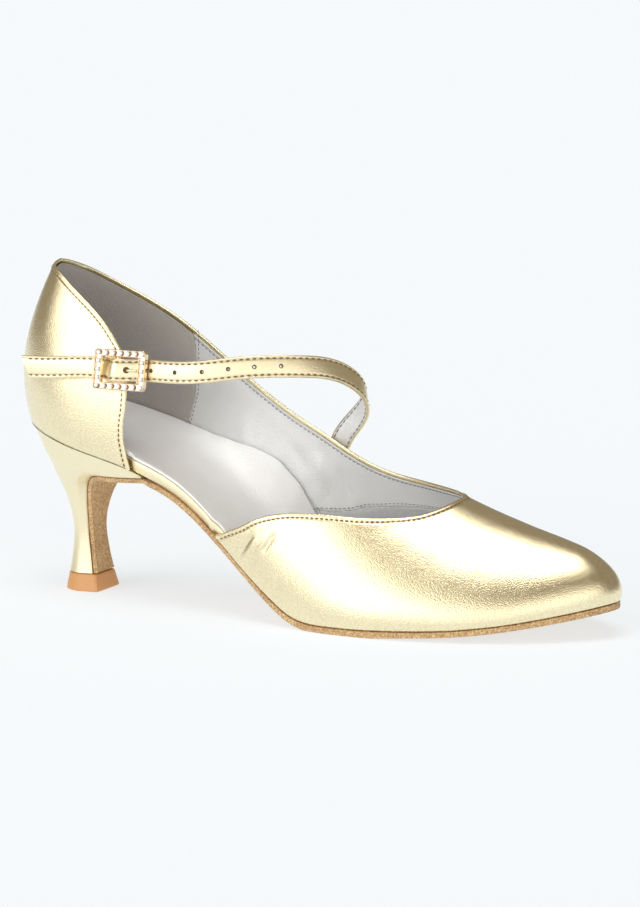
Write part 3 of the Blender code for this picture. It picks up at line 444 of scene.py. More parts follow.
def makeGrainGroup():
    # pebbled leather grain: rounded cells with finer pores between them, a broad mottle, and
    # specks for a thin foil
    tree, given, result = newGroup(
        "leatherGrain",
        (("Cells Per Metre", "NodeSocketFloat", 1500.0), ("Pores", "NodeSocketFloat", 0.4)),
        (("Height", "NodeSocketFloat"), ("Mottle", "NodeSocketFloat"), ("Speckle", "NodeSocketFloat")))
    where = tree.nodes.new("ShaderNodeTexCoord").outputs["Object"]
    cells = tree.nodes.new("ShaderNodeTexVoronoi")
    cells.feature = "F1"
    cells.inputs["Randomness"].default_value = 0.9
    tree.links.new(where, cells.inputs["Vector"])
    tree.links.new(given.outputs["Cells Per Metre"], cells.inputs["Scale"])
    pores = noise(tree, where, math2(tree, "MULTIPLY", given.outputs["Cells Per Metre"], 2.2), 4.0, 0.6)
    squared = math2(tree, "MULTIPLY", cells.outputs["Distance"], cells.outputs["Distance"])
    cellHeight = math2(tree, "SUBTRACT", 1.0, squared)
    height = math2(tree, "MULTIPLY_ADD", pores, given.outputs["Pores"], cellHeight)
    tree.links.new(height, result.inputs["Height"])
    tree.links.new(noise(tree, where, 60.0, 4.0), result.inputs["Mottle"])
    fleck = noise(tree, where, math2(tree, "MULTIPLY", given.outputs["Cells Per Metre"], 0.6), 2.0, 0.7)
    contrast = math2(tree, "MULTIPLY_ADD", math2(tree, "SUBTRACT", fleck, 0.5), 2.6, 0.5, clamp=True)
    tree.links.new(contrast, result.inputs["Speckle"])
    return tree


def makeNapGroup():
    # brushed suede: clumped short fibres, lighter where they stand up
    tree, given, result = newGroup(
        "suedeNap",
        (("Fibre Scale", "NodeSocketFloat", 2600.0),),
        (("Height", "NodeSocketFloat"), ("Light", "NodeSocketFloat")))
    where = tree.nodes.new("ShaderNodeTexCoord").outputs["Object"]
    fine = noise(tree, where, given.outputs["Fibre Scale"], 3.0, 0.6)
    clump = noise(tree, where, 900.0, 2.0, 0.6)
    broad = noise(tree, where, 90.0, 3.0, 0.5)
    height = math2(tree, "MULTIPLY_ADD", clump, 0.8, fine)
    speck = math2(tree, "MULTIPLY_ADD", math2(tree, "SUBTRACT", fine, 0.5), 3.2, 0.32)
    light = math2(tree, "MULTIPLY_ADD", math2(tree, "SUBTRACT", clump, 0.5), 1.6, speck)
    light = math2(tree, "MULTIPLY_ADD", math2(tree, "SUBTRACT", broad, 0.5), 0.8, light, clamp=True)
    tree.links.new(height, result.inputs["Height"])
    tree.links.new(light, result.inputs["Light"])
    return tree


grainGroup = makeGrainGroup()
napGroup = makeNapGroup()


def newMaterial(name, colour, roughness, metallic=0.0):
    mat = bpy.data.materials.new(name)
    mat.use_nodes = True
    tree = mat.node_tree
    shader = tree.nodes["Principled BSDF"]
    shader.inputs["Base Color"].default_value = (*colour, 1.0)
    shader.inputs["Roughness"].default_value = roughness
    shader.inputs["Metallic"].default_value = metallic
    mat.diffuse_color = (*colour, 1.0)
    return mat, tree, shader


def bump(tree, shader, height, strength, distance):
    node = tree.nodes.new("ShaderNodeBump")
    node.inputs["Strength"].default_value = strength
    node.inputs["Distance"].default_value = distance
    tree.links.new(height, node.inputs["Height"])
    tree.links.new(node.outputs["Normal"], shader.inputs["Normal"])


def useGroup(tree, group, values):
    node = tree.nodes.new("ShaderNodeGroup")
    node.node_tree = group
    for key, value in values.items():
        node.inputs[key].default_value = value
    return node


def attribute(tree, name):
    node = tree.nodes.new("ShaderNodeAttribute")
    node.attribute_name = name
    return node.outputs["Fac"]


def goldLeather(name, colour, roughness, cells, depth, seams=False, flecks=0.03):
    # foil-finished leather, darker in the seam grooves: painted shade there, with the dark of the
    # stitch holes
    mat, tree, shader = newMaterial(name, colour, roughness, 1.0)
    grain = useGroup(tree, grainGroup, {"Cells Per Metre": cells, "Pores": 0.5})
    mottled = mixColour(tree, grain.outputs["Mottle"], [c * 0.93 for c in colour],
                        [min(1.0, c * 1.05) for c in colour])
    # fine flecks where the foil is thin, a little warmer than the rest
    fleckShade = [1.0 - flecks * k for k in (0.9, 1.0, 1.5)]
    flecked = mixColour(tree, 1.0, mottled, fleckShade, "MULTIPLY")
    mottled = mixColour(tree, grain.outputs["Speckle"], flecked, mottled)
    if seams:
        # painted shade in the stitch grooves, laid on by the seam mask
        paintedShade = [c * share for c, share in zip(colour, finish["seamPaintedShade"])]
        mottled = mixColour(tree, attribute(tree, "seam"), mottled, paintedShade)
    tree.links.new(mottled, shader.inputs["Base Color"])
    rough = math2(tree, "MULTIPLY_ADD", grain.outputs["Mottle"], 0.10, roughness - 0.05)
    tree.links.new(rough, shader.inputs["Roughness"])
    bump(tree, shader, grain.outputs["Height"], 0.28, depth)
    # the clear finish over the foil whitens its highlights
    shader.inputs["Coat Weight"].default_value = 0.5
    shader.inputs["Coat Roughness"].default_value = 0.30
    return mat


def softLeather(name, colour, roughness, metallic, cells, depth, seams=False):
    mat, tree, shader = newMaterial(name, colour, roughness, metallic)
    grain = useGroup(tree, grainGroup, {"Cells Per Metre": cells, "Pores": 0.7})
    mottled = mixColour(tree, grain.outputs["Mottle"], [c * 0.92 for c in colour],
                        [min(1.0, c * 1.06) for c in colour])
    if seams:
        # painted shade in the stitch grooves, with the dark of the stitch holes
        mottled = mixColour(tree, attribute(tree, "seam"), mottled, [c * 0.55 for c in colour])
    tree.links.new(mottled, shader.inputs["Base Color"])
    bump(tree, shader, grain.outputs["Height"], 0.5, depth)
    return mat


def makeSuede(name, colour):
    mat, tree, shader = newMaterial(name, colour, 0.95)
    nap = useGroup(tree, napGroup, {"Fibre Scale": 2000.0})
    mixed = mixColour(tree, nap.outputs["Light"], [c * 0.58 for c in colour],
                      [min(1.0, c * 1.5) for c in colour])
    tree.links.new(mixed, shader.inputs["Base Color"])
    shader.inputs["Sheen Weight"].default_value = 0.12
    shader.inputs["Sheen Roughness"].default_value = 0.5
    bump(tree, shader, nap.outputs["Height"], 0.9, 0.0008)
    return mat


def makeTextile(name, colour):
    # close-woven lining cloth
    mat, tree, shader = newMaterial(name, colour, 0.85)
    where = tree.nodes.new("ShaderNodeTexCoord").outputs["Object"]
    parts = tree.nodes.new("ShaderNodeSeparateXYZ")
    tree.links.new(where, parts.inputs[0])
    threads = 2 * math.pi / 0.0007
    warp = math2(tree, "SINE", math2(tree, "MULTIPLY", parts.outputs[0], threads))
    weft = math2(tree, "SINE", math2(tree, "MULTIPLY", parts.outputs[2], threads))
    weave = math2(tree, "MULTIPLY", warp, weft)
    fuzz = noise(tree, where, 900.0, 4.0)
    shade = math2(tree, "MULTIPLY_ADD", weave, 0.2, fuzz, clamp=True)
    tree.links.new(mixColour(tree, shade, [c * 0.8 for c in colour], [c * 1.15 for c in colour]),
                   shader.inputs["Base Color"])
    bump(tree, shader, math2(tree, "MULTIPLY_ADD", weave, 0.5, fuzz), 0.4, 0.0003)
    return mat


def makeMetal(name, colour, roughness):
    mat, tree, shader = newMaterial(name, colour, roughness, 1.0)
    where = tree.nodes.new("ShaderNodeTexCoord").outputs["Object"]
    smudge = noise(tree, where, 350.0, 4.0)
    dents = noise(tree, where, 130.0, 1.0)
    tree.links.new(math2(tree, "MULTIPLY_ADD", smudge, 0.16, roughness - 0.08),
                   shader.inputs["Roughness"])
    bump(tree, shader, dents, 0.5, 0.0010)
    return mat


def makePlastic(name, colour):
    mat, tree, shader = newMaterial(name, colour, 0.42)
    where = tree.nodes.new("ShaderNodeTexCoord").outputs["Object"]
    cloudy = noise(tree, where, 160.0, 4.0)
    tree.links.new(mixColour(tree, cloudy, [c * 0.86 for c in colour],
                             [min(1.0, c * 1.08) for c in colour]), shader.inputs["Base Color"])
    tree.links.new(math2(tree, "MULTIPLY_ADD", cloudy, 0.25, 0.32), shader.inputs["Roughness"])
    bump(tree, shader, noise(tree, where, 1400.0, 3.0), 0.15, 0.0003)
    shader.inputs["Subsurface Weight"].default_value = 0.12
    shader.inputs["Subsurface Scale"].default_value = 0.002
    return mat


def makeThread(name, colour):
    mat, tree, shader = newMaterial(name, colour, 0.6)
    where = tree.nodes.new("ShaderNodeTexCoord").outputs["Object"]
    twist = noise(tree, where, 5200.0, 2.0)
    tree.links.new(mixColour(tree, twist, [c * 0.7 for c in colour], [c * 1.3 for c in colour]),
                   shader.inputs["Base Color"])
    bump(tree, shader, twist, 0.5, 0.0001)
    return mat


def makeStone(name):
    # foil-backed cut stone with painted reflections, bright at some facets and grey at others
    mat, tree, shader = newMaterial(name, finish["stone"], 0.08)
    shader.inputs["IOR"].default_value = 1.9
    shader.inputs["Coat Weight"].default_value = 1.0
    shader.inputs["Coat Roughness"].default_value = 0.03
    where = tree.nodes.new("ShaderNodeTexCoord").outputs["Object"]
    paintedFlash = noise(tree, where, 1100.0, 1.0)
    # painted reflections: a noise mixes the dark and light flashes into the colour
    tree.links.new(mixColour(tree, paintedFlash, *finish["stonePaintedFlashes"]), shader.inputs["Base Color"])
    return mat


# grain in cells to the metre and its relief in metres follow each leather's roughness
goldUpper = goldLeather("goldUpper", finish["gold"], finish["goldRoughness"], 2000.0, 0.00022,
                        seams=True, flecks=0.13)
goldHeel = goldLeather("goldHeel", finish["heelGold"], 0.45, 1500.0, 0.00010)
goldBoard = goldLeather("goldBoard", finish["gold"], 0.36, 2000.0, 0.00016)
goldStrap = goldLeather("goldStrap", finish["gold"], 0.30, 2000.0, 0.00022, seams=True, flecks=0.08)
silverLining = softLeather("silverLining", finish["silver"], 0.42, 0.35, 1700.0, 0.00022, seams=True)
heelLining = softLeather("heelLining", finish["heelLining"], 0.72, 0.0, 1300.0, 0.00042)
vampLining = makeTextile("vampLining", finish["vampLining"])
silverSock = softLeather("silverSock", finish["sock"], 0.45, 0.25, 1400.0, 0.0002)
tanSuede = makeSuede("tanSuede", finish["suede"])
tipPlastic = makePlastic("tipPlastic", finish["tip"])
goldTab = goldLeather("goldTab", finish["tabGold"], 0.34, 1500.0, 0.0002)
roseMetal = makeMetal("roseMetal", finish["metal"], 0.18)
prongMetal = makeMetal("prongMetal", finish["prong"], 0.26)
holeWall = softLeather("holeWall", finish["cutEdge"], 0.8, 0.0, 2500.0, 0.0002)
goldThread = makeThread("goldThread", finish["goldThread"])
silverThread = makeThread("silverThread", finish["silverThread"])
crystalStone = makeStone("crystalStone")
print("materials made")


def geometryTree(name, sockets):
    # empty Geometry Nodes tree with named inputs, for what repeats along a line or at points
    tree = bpy.data.node_groups.new(name, "GeometryNodeTree")
    tree.interface.new_socket(name="Geometry", in_out="INPUT", socket_type="NodeSocketGeometry")
    for label, kind, value in sockets:
        socket = tree.interface.new_socket(name=label, in_out="INPUT", socket_type=kind)
        if value is not None:
            socket.default_value = value
    tree.interface.new_socket(name="Geometry", in_out="OUTPUT", socket_type="NodeSocketGeometry")
    return tree, tree.nodes.new("NodeGroupInput"), tree.nodes.new("NodeGroupOutput")


def setInput(modifier, tree, label, value):
    # a modifier's input is known by its socket's identifier
    for item in tree.interface.items_tree:
        if item.item_type == "SOCKET" and item.in_out == "INPUT" and item.name == label:
            modifier[item.identifier] = value


def finishedCopy(obj, name):
    # plain mesh object from the evaluated one, which is then removed
    graph = bpy.context.evaluated_depsgraph_get()
    mesh = bpy.data.meshes.new_from_object(obj.evaluated_get(graph))
    made = bpy.data.objects.new(name, mesh)
    bpy.context.scene.collection.objects.link(made)
    bpy.data.objects.remove(obj)
    mesh.name = name
    return made


def pointValue(tree, name, kind):
    node = tree.nodes.new("GeometryNodeInputNamedAttribute")
    node.data_type = kind
    node.inputs["Name"].default_value = name
    return node.outputs[0]


def painted(tree, geometry, material):
    node = tree.nodes.new("GeometryNodeSetMaterial")
    tree.links.new(geometry, node.inputs["Geometry"])
    tree.links.new(material, node.inputs["Material"])
    return node.outputs[0]


def makeStitchTree():
    # short arched threads along a line, each lying in its own stitch holes
    tree, given, result = geometryTree("stitchRow", (
        ("Pitch", "NodeSocketFloat", 0.0019), ("Length", "NodeSocketFloat", 0.0012),
        ("Thickness", "NodeSocketFloat", 0.0002), ("Lift", "NodeSocketFloat", 0.0001),
        ("Thread", "NodeSocketMaterial", None)))
    new, link = tree.nodes.new, tree.links.new
    line = new("GeometryNodeMeshToCurve")
    link(given.outputs["Geometry"], line.inputs["Mesh"])
    even = new("GeometryNodeResampleCurve")
    even.mode = "LENGTH"
    link(line.outputs["Curve"], even.inputs["Curve"])
    link(given.outputs["Pitch"], even.inputs["Length"])
    half = math2(tree, "MULTIPLY", given.outputs["Length"], 0.5)
    back = math2(tree, "MULTIPLY", half, -1.0)
    sunk = math2(tree, "MULTIPLY", given.outputs["Thickness"], -1.1)
    arch = new("GeometryNodeCurveQuadraticBezier")
    arch.inputs["Resolution"].default_value = 6
    crest = math2(tree, "MULTIPLY_ADD", given.outputs["Thickness"], 1.6, given.outputs["Lift"])
    for key, sockets in (("Start", {"X": back, "Z": sunk}), ("Middle", {"Z": crest}),
                         ("End", {"X": half, "Z": sunk})):
        point = new("ShaderNodeCombineXYZ")
        for axis, value in sockets.items():
            link(value, point.inputs[axis])
        link(point.outputs[0], arch.inputs[key])
    ring = new("GeometryNodeCurvePrimitiveCircle")
    ring.inputs["Resolution"].default_value = 6
    link(given.outputs["Thickness"], ring.inputs["Radius"])
    thread = new("GeometryNodeCurveToMesh")
    thread.inputs["Fill Caps"].default_value = True
    link(arch.outputs["Curve"], thread.inputs["Curve"])
    link(ring.outputs["Curve"], thread.inputs["Profile Curve"])
    tangent = new("GeometryNodeInputTangent")
    outward = pointValue(tree, "outward", "FLOAT_VECTOR")
    aim = new("FunctionNodeAlignRotationToVector")
    aim.axis = "X"
    link(tangent.outputs[0], aim.inputs["Vector"])
    turn = new("FunctionNodeAlignRotationToVector")
    turn.axis = "Z"
    turn.pivot_axis = "X"
    link(aim.outputs[0], turn.inputs["Rotation"])
    link(outward, turn.inputs["Vector"])
    copies = new("GeometryNodeInstanceOnPoints")
    link(even.outputs["Curve"], copies.inputs["Points"])
    link(thread.outputs["Mesh"], copies.inputs["Instance"])
    link(turn.outputs[0], copies.inputs["Rotation"])
    real = new("GeometryNodeRealizeInstances")
    link(copies.outputs[0], real.inputs[0])
    smooth = new("GeometryNodeSetShadeSmooth")
    link(real.outputs[0], smooth.inputs["Geometry"])
    link(painted(tree, smooth.outputs[0], given.outputs["Thread"]), result.inputs["Geometry"])
    return tree


def makeCopiesTree():
    # one instance of an object's mesh at each point, its Z along the point's outward direction
    tree, given, result = geometryTree("copiesAtPoints", (
        ("Model", "NodeSocketObject", None), ("Finish", "NodeSocketMaterial", None)))
    new, link = tree.nodes.new, tree.links.new
    model = new("GeometryNodeObjectInfo")
    link(given.outputs["Model"], model.inputs["Object"])
    points = new("GeometryNodeMeshToPoints")
    link(given.outputs["Geometry"], points.inputs["Mesh"])
    aim = new("FunctionNodeAlignRotationToVector")
    aim.axis = "Z"
    link(pointValue(tree, "outward", "FLOAT_VECTOR"), aim.inputs["Vector"])
    copies = new("GeometryNodeInstanceOnPoints")
    link(points.outputs[0], copies.inputs["Points"])
    link(model.outputs["Geometry"], copies.inputs["Instance"])
    link(aim.outputs[0], copies.inputs["Rotation"])
    link(pointValue(tree, "size", "FLOAT"), copies.inputs["Scale"])
    real = new("GeometryNodeRealizeInstances")
    link(copies.outputs[0], real.inputs[0])
    link(painted(tree, real.outputs[0], given.outputs["Finish"]), result.inputs["Geometry"])
    return tree


stitchTree = makeStitchTree()
copiesTree = makeCopiesTree()


def attributeMesh(name, points, links, vectors, sizes=None):
    # bare points or lines in metres that carry their outward direction and size
    mesh = bpy.data.meshes.new(name)
    mesh.from_pydata([tuple(p) for p in points], links, [])
    layer = mesh.attributes.new("outward", "FLOAT_VECTOR", "POINT")
    layer.data.foreach_set("vector", np.array(vectors, np.float32).ravel())
    if sizes is not None:
        layer = mesh.attributes.new("size", "FLOAT", "POINT")
        layer.data.foreach_set("value", np.array(sizes, np.float32))
    obj = bpy.data.objects.new(name, mesh)
    bpy.context.scene.collection.objects.link(obj)
    return obj


def copiesAt(name, model, points, vectors, sizes, mat):
    # points in millimetres; the model's own sizes are in metres
    obj = attributeMesh(name + "_points", toMetres(points), [], vectors, sizes)
    modifier = obj.modifiers.new("copies", "NODES")
    modifier.node_group = copiesTree
    setInput(modifier, copiesTree, "Model", model)
    setInput(modifier, copiesTree, "Finish", mat)
    made = finishedCopy(obj, name)
    bpy.data.objects.remove(model)
    return made


def stitchRow(name, lines, outs, thread, pitch, length, thickness, lift=0.05):
    # lines are polylines in millimetres and outs their outward directions
    points, links, vectors = [], [], []
    for line, out in zip(lines, outs):
        start = len(points)
        points += list(toMetres(line))
        vectors += list(out)
        links += [(start + i, start + i + 1) for i in range(len(line) - 1)]
    obj = attributeMesh(name + "_line", points, links, vectors)
    modifier = obj.modifiers.new("stitches", "NODES")
    modifier.node_group = stitchTree
    for label, size in (("Pitch", pitch), ("Length", length), ("Thickness", thickness), ("Lift", lift)):
        setInput(modifier, stitchTree, label, size * mm)
    setInput(modifier, stitchTree, "Thread", thread)
    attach(finishedCopy(obj, name), "root")


# the upper: gold leather with a folded, stitched edge, and its linings
upper = {
    "foldRadius": 0.55,
    "foldInside": 2.6,
    # distance from the edge over which the leather is drawn in for the fold
    "foldReach": 3.0,
    "stitchIn": 1.75,
    "grooveDepth": 0.17,
    "grooveWidth": 0.42,
    "seamShade": 0.22,
    "edgeCrown": 0.10,
    # unevenness: its size and height; it and the creases fade in over these distances from the edge
    "waves": (14.0, 0.035),
    "wavesFrom": (2.0, 8.0),
    "creasesFrom": (1.5, 4.0),
    # the lasting margin under the feather line: inward and downward steps
    "margin": ((0.5, 0.12), (2.2, 0.0)),
    "rows": 64,
    # points along each top edge, and from the throat to the toe
    "columns": {"innerTop": 240, "outerTop": 110, "quarterTop": 76, "toe": 64},
}


def resampled(name):
    # top edge spread evenly along its own length, as feet, tops and girth shares
    steps = upper["columns"][name]
    table = np.array(edges[name])
    t = np.arange(len(table), dtype=float)
    fine = np.linspace(0.0, t[-1], 1200)
    curves = [spline(t, table[:, k]) for k in range(3)]
    tops, girths = curves[1](fine), curves[2](fine)
    length = np.concatenate([[0.0], np.cumsum(np.hypot(np.diff(tops) * shoe["length"],
                                                      np.diff(girths) * shoe["heelHeight"]))])
    even = np.interp(np.linspace(0.0, length[-1], steps), length, fine)
    out = [c(even) for c in curves]
    for k, values in enumerate(out):
        values[0] = table[0, k]
        values[-1] = table[-1, k]
    return out


def columnShares(feet, tops, girths, front=False, rowPower=1.5):
    # length and girth shares of a grid: columns from the feather line up to the top edge
    rise = 1.0 - (1.0 - np.linspace(0.0, 1.0, upper["rows"])) ** rowPower
    girth = girths[:, None] * rise[None, :]
    share = feet[:, None] + (tops - feet)[:, None] * rise[None, :]
    if front:
        pull = (np.arange(len(feet)) / (len(feet) - 1)) ** 2
        edge = np.interp(girth, *np.array(edges["quarterFront"]).T)
        straight = (feet[-1] + (tops[-1] - feet[-1]) * rise)[None, :]
        share = share + pull[:, None] * (edge - straight)
    return share, girth


throatFoot, throat = edges["outerTop"][0][:2]
toeTops = 1.0 - (1.0 - throat) * (1.0 - np.linspace(0.0, 1.0, upper["columns"]["toe"])) ** 1.15
toeFeet = throatFoot + (1.0 - throatFoot) * (toeTops - throat) / (1.0 - throat)
toeGirths = np.ones(len(toeTops) - 1)
innerEdge = resampled("innerTop")
outerEdge = resampled("outerTop")
quarterEdge = resampled("quarterTop")
gridShares = (
    (inner, *columnShares(np.concatenate([innerEdge[0], toeFeet[1:]]),
                          np.concatenate([innerEdge[1], toeTops[1:]]),
                          np.concatenate([innerEdge[2], toeGirths]))),
    (outer, *columnShares(np.concatenate([toeFeet[:0:-1], outerEdge[0]]),
                          np.concatenate([toeTops[:0:-1], outerEdge[1]]),
                          np.concatenate([toeGirths, outerEdge[2]]))),
    (outer, *columnShares(*quarterEdge, front=True)))
grids = [lastPoint(side, share, girth) for side, share, girth in gridShares]
normals = [lastNormal(side, share, girth) for side, share, girth in gridShares]
innerCount, outerStart = len(innerEdge[0]), len(toeTops) - 1


def alongEdge(arrays, row=1):
    # values along the free edge, from the front of the quarter round the heel to the waist
    # corner; row 2 is the next one inside it
    innerGrid, outerGrid, quarterGrid = arrays
    return np.concatenate([quarterGrid[-row, :-1], quarterGrid[::-1, -row],
                           innerGrid[1:innerCount, -row], outerGrid[outerStart + 1:, -row]])


edgeLine = alongEdge(grids)
edgeNormal = unit(alongEdge(normals))
edgeOut = np.cross(edgeNormal, tangents(edgeLine))
edgeOut = edgeOut * np.sign(np.sum(edgeOut * (edgeLine - alongEdge(grids, 2)), axis=1))[:, None]
edgeOut = unit(edgeOut)


def edgeDistance(points, finer=3, batch=4000):
    # distance of each point to the free edge, and the nearest edge vertex
    line = dense(edgeLine, finer)
    flat = points.reshape(-1, 3)
    best = np.full(len(flat), 1e9)
    index = np.zeros(len(flat), int)
    for first in range(0, len(flat), batch):
        part = flat[first:first + batch]
        squared = ((part ** 2).sum(1)[:, None] + (line ** 2).sum(1)[None, :]
                   - 2 * part @ line.T)
        index[first:first + batch] = squared.argmin(1)
        best[first:first + batch] = np.sqrt(np.maximum(squared.min(1), 0.0))
    return best.reshape(points.shape[:-1]), (index // finer).reshape(points.shape[:-1])


creases = {
    # soft folds as short lines: start, end, height, width; the vamp's are near its waist corner
    "vamp": (
        ((89.2, -31.4, 32.6), (82.6, -30.4, 23.2), -0.50, 1.0),
        ((91.2, -31.6, 32.0), (84.8, -31.0, 22.8), 0.34, 1.1),
        ((98.4, -32.1, 33.4), (93.4, -32.0, 26.4), -0.66, 0.9),
        ((96.4, -32.0, 32.0), (90.4, -31.8, 25.0), 0.40, 1.0),
        ((94.8, -32.1, 28.4), (86.2, -31.3, 22.4), -0.20, 0.6),
        ((92.4, -32.2, 24.4), (86.8, -31.6, 20.6), -0.16, 0.55),
        ((95.4, -32.8, 21.6), (89.6, -32.2, 18.2), -0.14, 0.5),
        ((98.8, -33.6, 19.4), (93.4, -33.0, 16.2), -0.12, 0.5),
        ((103.0, -34.6, 17.0), (97.6, -33.8, 13.8), -0.10, 0.5)),
    "lining": (
        ((87.0, 26.5, 57.0), (92.0, 20.0, 38.0), 0.9, 2.6),
        ((98.0, 26.0, 50.0), (101.0, 24.0, 34.0), -0.6, 2.4),
        ((79.0, 24.0, 58.0), (84.0, 18.5, 42.0), -0.7, 2.2),
        ((58.0, 23.5, 66.0), (60.0, 21.0, 54.0), 0.5, 2.4)),
}


def creaseRelief(points, rows):
    # height of the folds at the points: a trough or a ridge along each short line
    relief = np.zeros(points.shape[:-1])
    for start, end, depth, width in rows:
        a, b = np.array(start), np.array(end)
        t = np.clip(((points - a) @ (b - a)) / float((b - a) @ (b - a)), 0.0, 1.0)
        gap = np.linalg.norm(points - (a + t[..., None] * (b - a)), axis=-1)
        fade = np.sin(np.pi * np.clip(t * 0.92 + 0.04, 0, 1)) ** 0.8
        relief += depth * fade * np.exp(-(gap / width) ** 2)
    return relief


def slowWaves(points, size, amount):
    # gentle unevenness of leather pulled over a last
    x, y, z = [points[..., k] / size for k in range(3)]
    wave = (np.sin(2.1 * x + 1.3 * y + 0.4) * np.cos(1.7 * z - 0.9 * x)
            + 0.6 * np.sin(3.7 * y + 2.9 * z + 1.1) * np.cos(2.3 * x + 0.7)
            + 0.4 * np.sin(5.3 * x - 4.1 * z + 2.0))
    return amount * wave


outerSkin = []
seamMasks = []
for grid, normal in zip(grids, normals):
    distance, nearest = edgeDistance(grid)
    pullIn = upper["foldRadius"] * np.clip(1 - distance / upper["foldReach"], 0, 1)
    relief = creaseRelief(grid, creases["vamp"]) * softStep(distance, *upper["creasesFrom"])
    relief += slowWaves(grid, *upper["waves"]) * softStep(distance, *upper["wavesFrom"])
    groove = np.exp(-((distance - upper["stitchIn"]) / upper["grooveWidth"]) ** 2)
    crown = np.sin(np.pi * np.clip(distance / upper["stitchIn"], 0, 1))
    relief += upper["edgeCrown"] * crown - upper["grooveDepth"] * groove
    outerSkin.append(grid - edgeOut[nearest] * pullIn[..., None] + normal * relief[..., None])
    seamMasks.append(upper["seamShade"] * groove)


def buildUpperLeather():
    rows, radius = upper["rows"], upper["foldRadius"]
    points, faces, masks = [], [], []
    for skin, mask, flip in zip(outerSkin, seamMasks, (True, True, False)):
        start = len(points)
        points += list(skin.reshape(-1, 3))
        masks += list(mask.reshape(-1))
        for face in ringFaces(len(skin), rows, False, start):
            faces.append(face if flip else face[::-1])
    # the edge is folded over and runs down inside
    rim = alongEdge(outerSkin)
    turns = np.linspace(0, math.pi, 9)
    rings = [rim + radius * math.sin(a) * edgeOut - radius * (1 - math.cos(a)) * edgeNormal
             for a in turns]
    down = np.linspace(0.0, upper["foldInside"], 5)[1:]
    rings += [rim - 2 * radius * edgeNormal - step * edgeOut for step in down]
    start = len(points)
    for ring in rings:
        points += list(ring)
        masks += [0.0] * len(ring)
    faces += ringFaces(len(rings), len(rim), False, start)
    # the lasting margin turns under at the feather line
    for skin, normal in zip(outerSkin, normals):
        start = len(points)
        base = skin[:, 0]
        out = unit(normal[:, 0] * np.array([1.0, 1.0, 0.0]))
        points += list(base)
        for inward, downward in upper["margin"]:
            points += list(base - out * inward + [0, 0, -downward])
        steps = 1 + len(upper["margin"])
        masks += [0.0] * (steps * len(base))
        faces += ringFaces(steps, len(base), False, start)
    return makePiece("upper_leather", points, faces, [goldUpper], merge=2e-6, turnOut=True,
                     smoothAngle=80.0, values={"seam": masks})


upperLeather = buildUpperLeather()
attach(upperLeather, "root")
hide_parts("upper")
print("upper leather:", len(upperLeather.data.polygons), "faces")

lining = {
    # seam of the dark heel lining up the inner wall: girth share, length share
    "heelSeam": ((0.0, 0.232), (0.130, 0.246), (0.305, 0.260), (0.557, 0.265), (1.0, 0.275)),
    # stitched edge above the cloth lining of the vamp: length share, girth share
    "vampSeam": (
        (0.30, -0.40), (0.400, 0.02), (0.457, 0.203), (0.535, 0.372), (0.613, 0.481),
        (0.651, 0.533), (0.72, 0.60), (1.0, 0.80)),
    # on the outer side: length share that parts the quarter's lining from the vamp's
    "outerSplit": 0.35,
    "thick": 0.35,
    # the silver leather is sunk in the wall's inner face, and the others lie a step further in
    "sunk": 0.12,
    "step": 0.35,
    # the lining's top lies this far below the edge, under the fold, and is drawn in over a reach
    "drop": 1.35,
    "dropReach": 6.0,
    "stitchIn": 1.1,
    "grooveWidth": 0.4,
    "grooveDepth": 0.12,
    "seamShade": 0.8,
    "waves": (7.0, 0.07),
    "wavesFrom": (3.0, 8.0),
    "creasesFrom": (1.5, 6.0),
}


def heelSeamAt(girth):
    return np.interp(girth, *np.array(lining["heelSeam"]).T)


def vampSeamAt(share):
    return np.interp(share, *np.array(lining["vampSeam"]).T)


def liningZone(side, share, girth):
    # 0 silver leather, 1 dark heel lining, 2 vamp cloth
    heel = share < heelSeamAt(girth) - 1e-6
    vamp = girth < vampSeamAt(share) - 1e-6
    if side == outer:
        heel = share < lining["outerSplit"]
        vamp = share > lining["outerSplit"]
    return np.where(heel, 1, np.where(vamp, 2, 0))


def snapToSeams(share, girth, nearShare=0.006, nearGirth=0.02):
    # grid corners beside a seam of the inner wall are moved onto it, so that its edge is smooth
    share, girth = share.copy(), girth.copy()
    for j in range(share.shape[1]):
        target = heelSeamAt(girth[:, j])
        gap = np.abs(share[:, j] - target)
        k = int(gap.argmin())
        if gap[k] < nearShare:
            share[k, j] = target[k]
    for i in range(share.shape[0]):
        target = vampSeamAt(share[i])
        gap = np.abs(girth[i] - target)
        k = int(gap.argmin())
        if gap[k] < nearGirth and k > 0:
            girth[i, k] = target[k]
    return share, girth


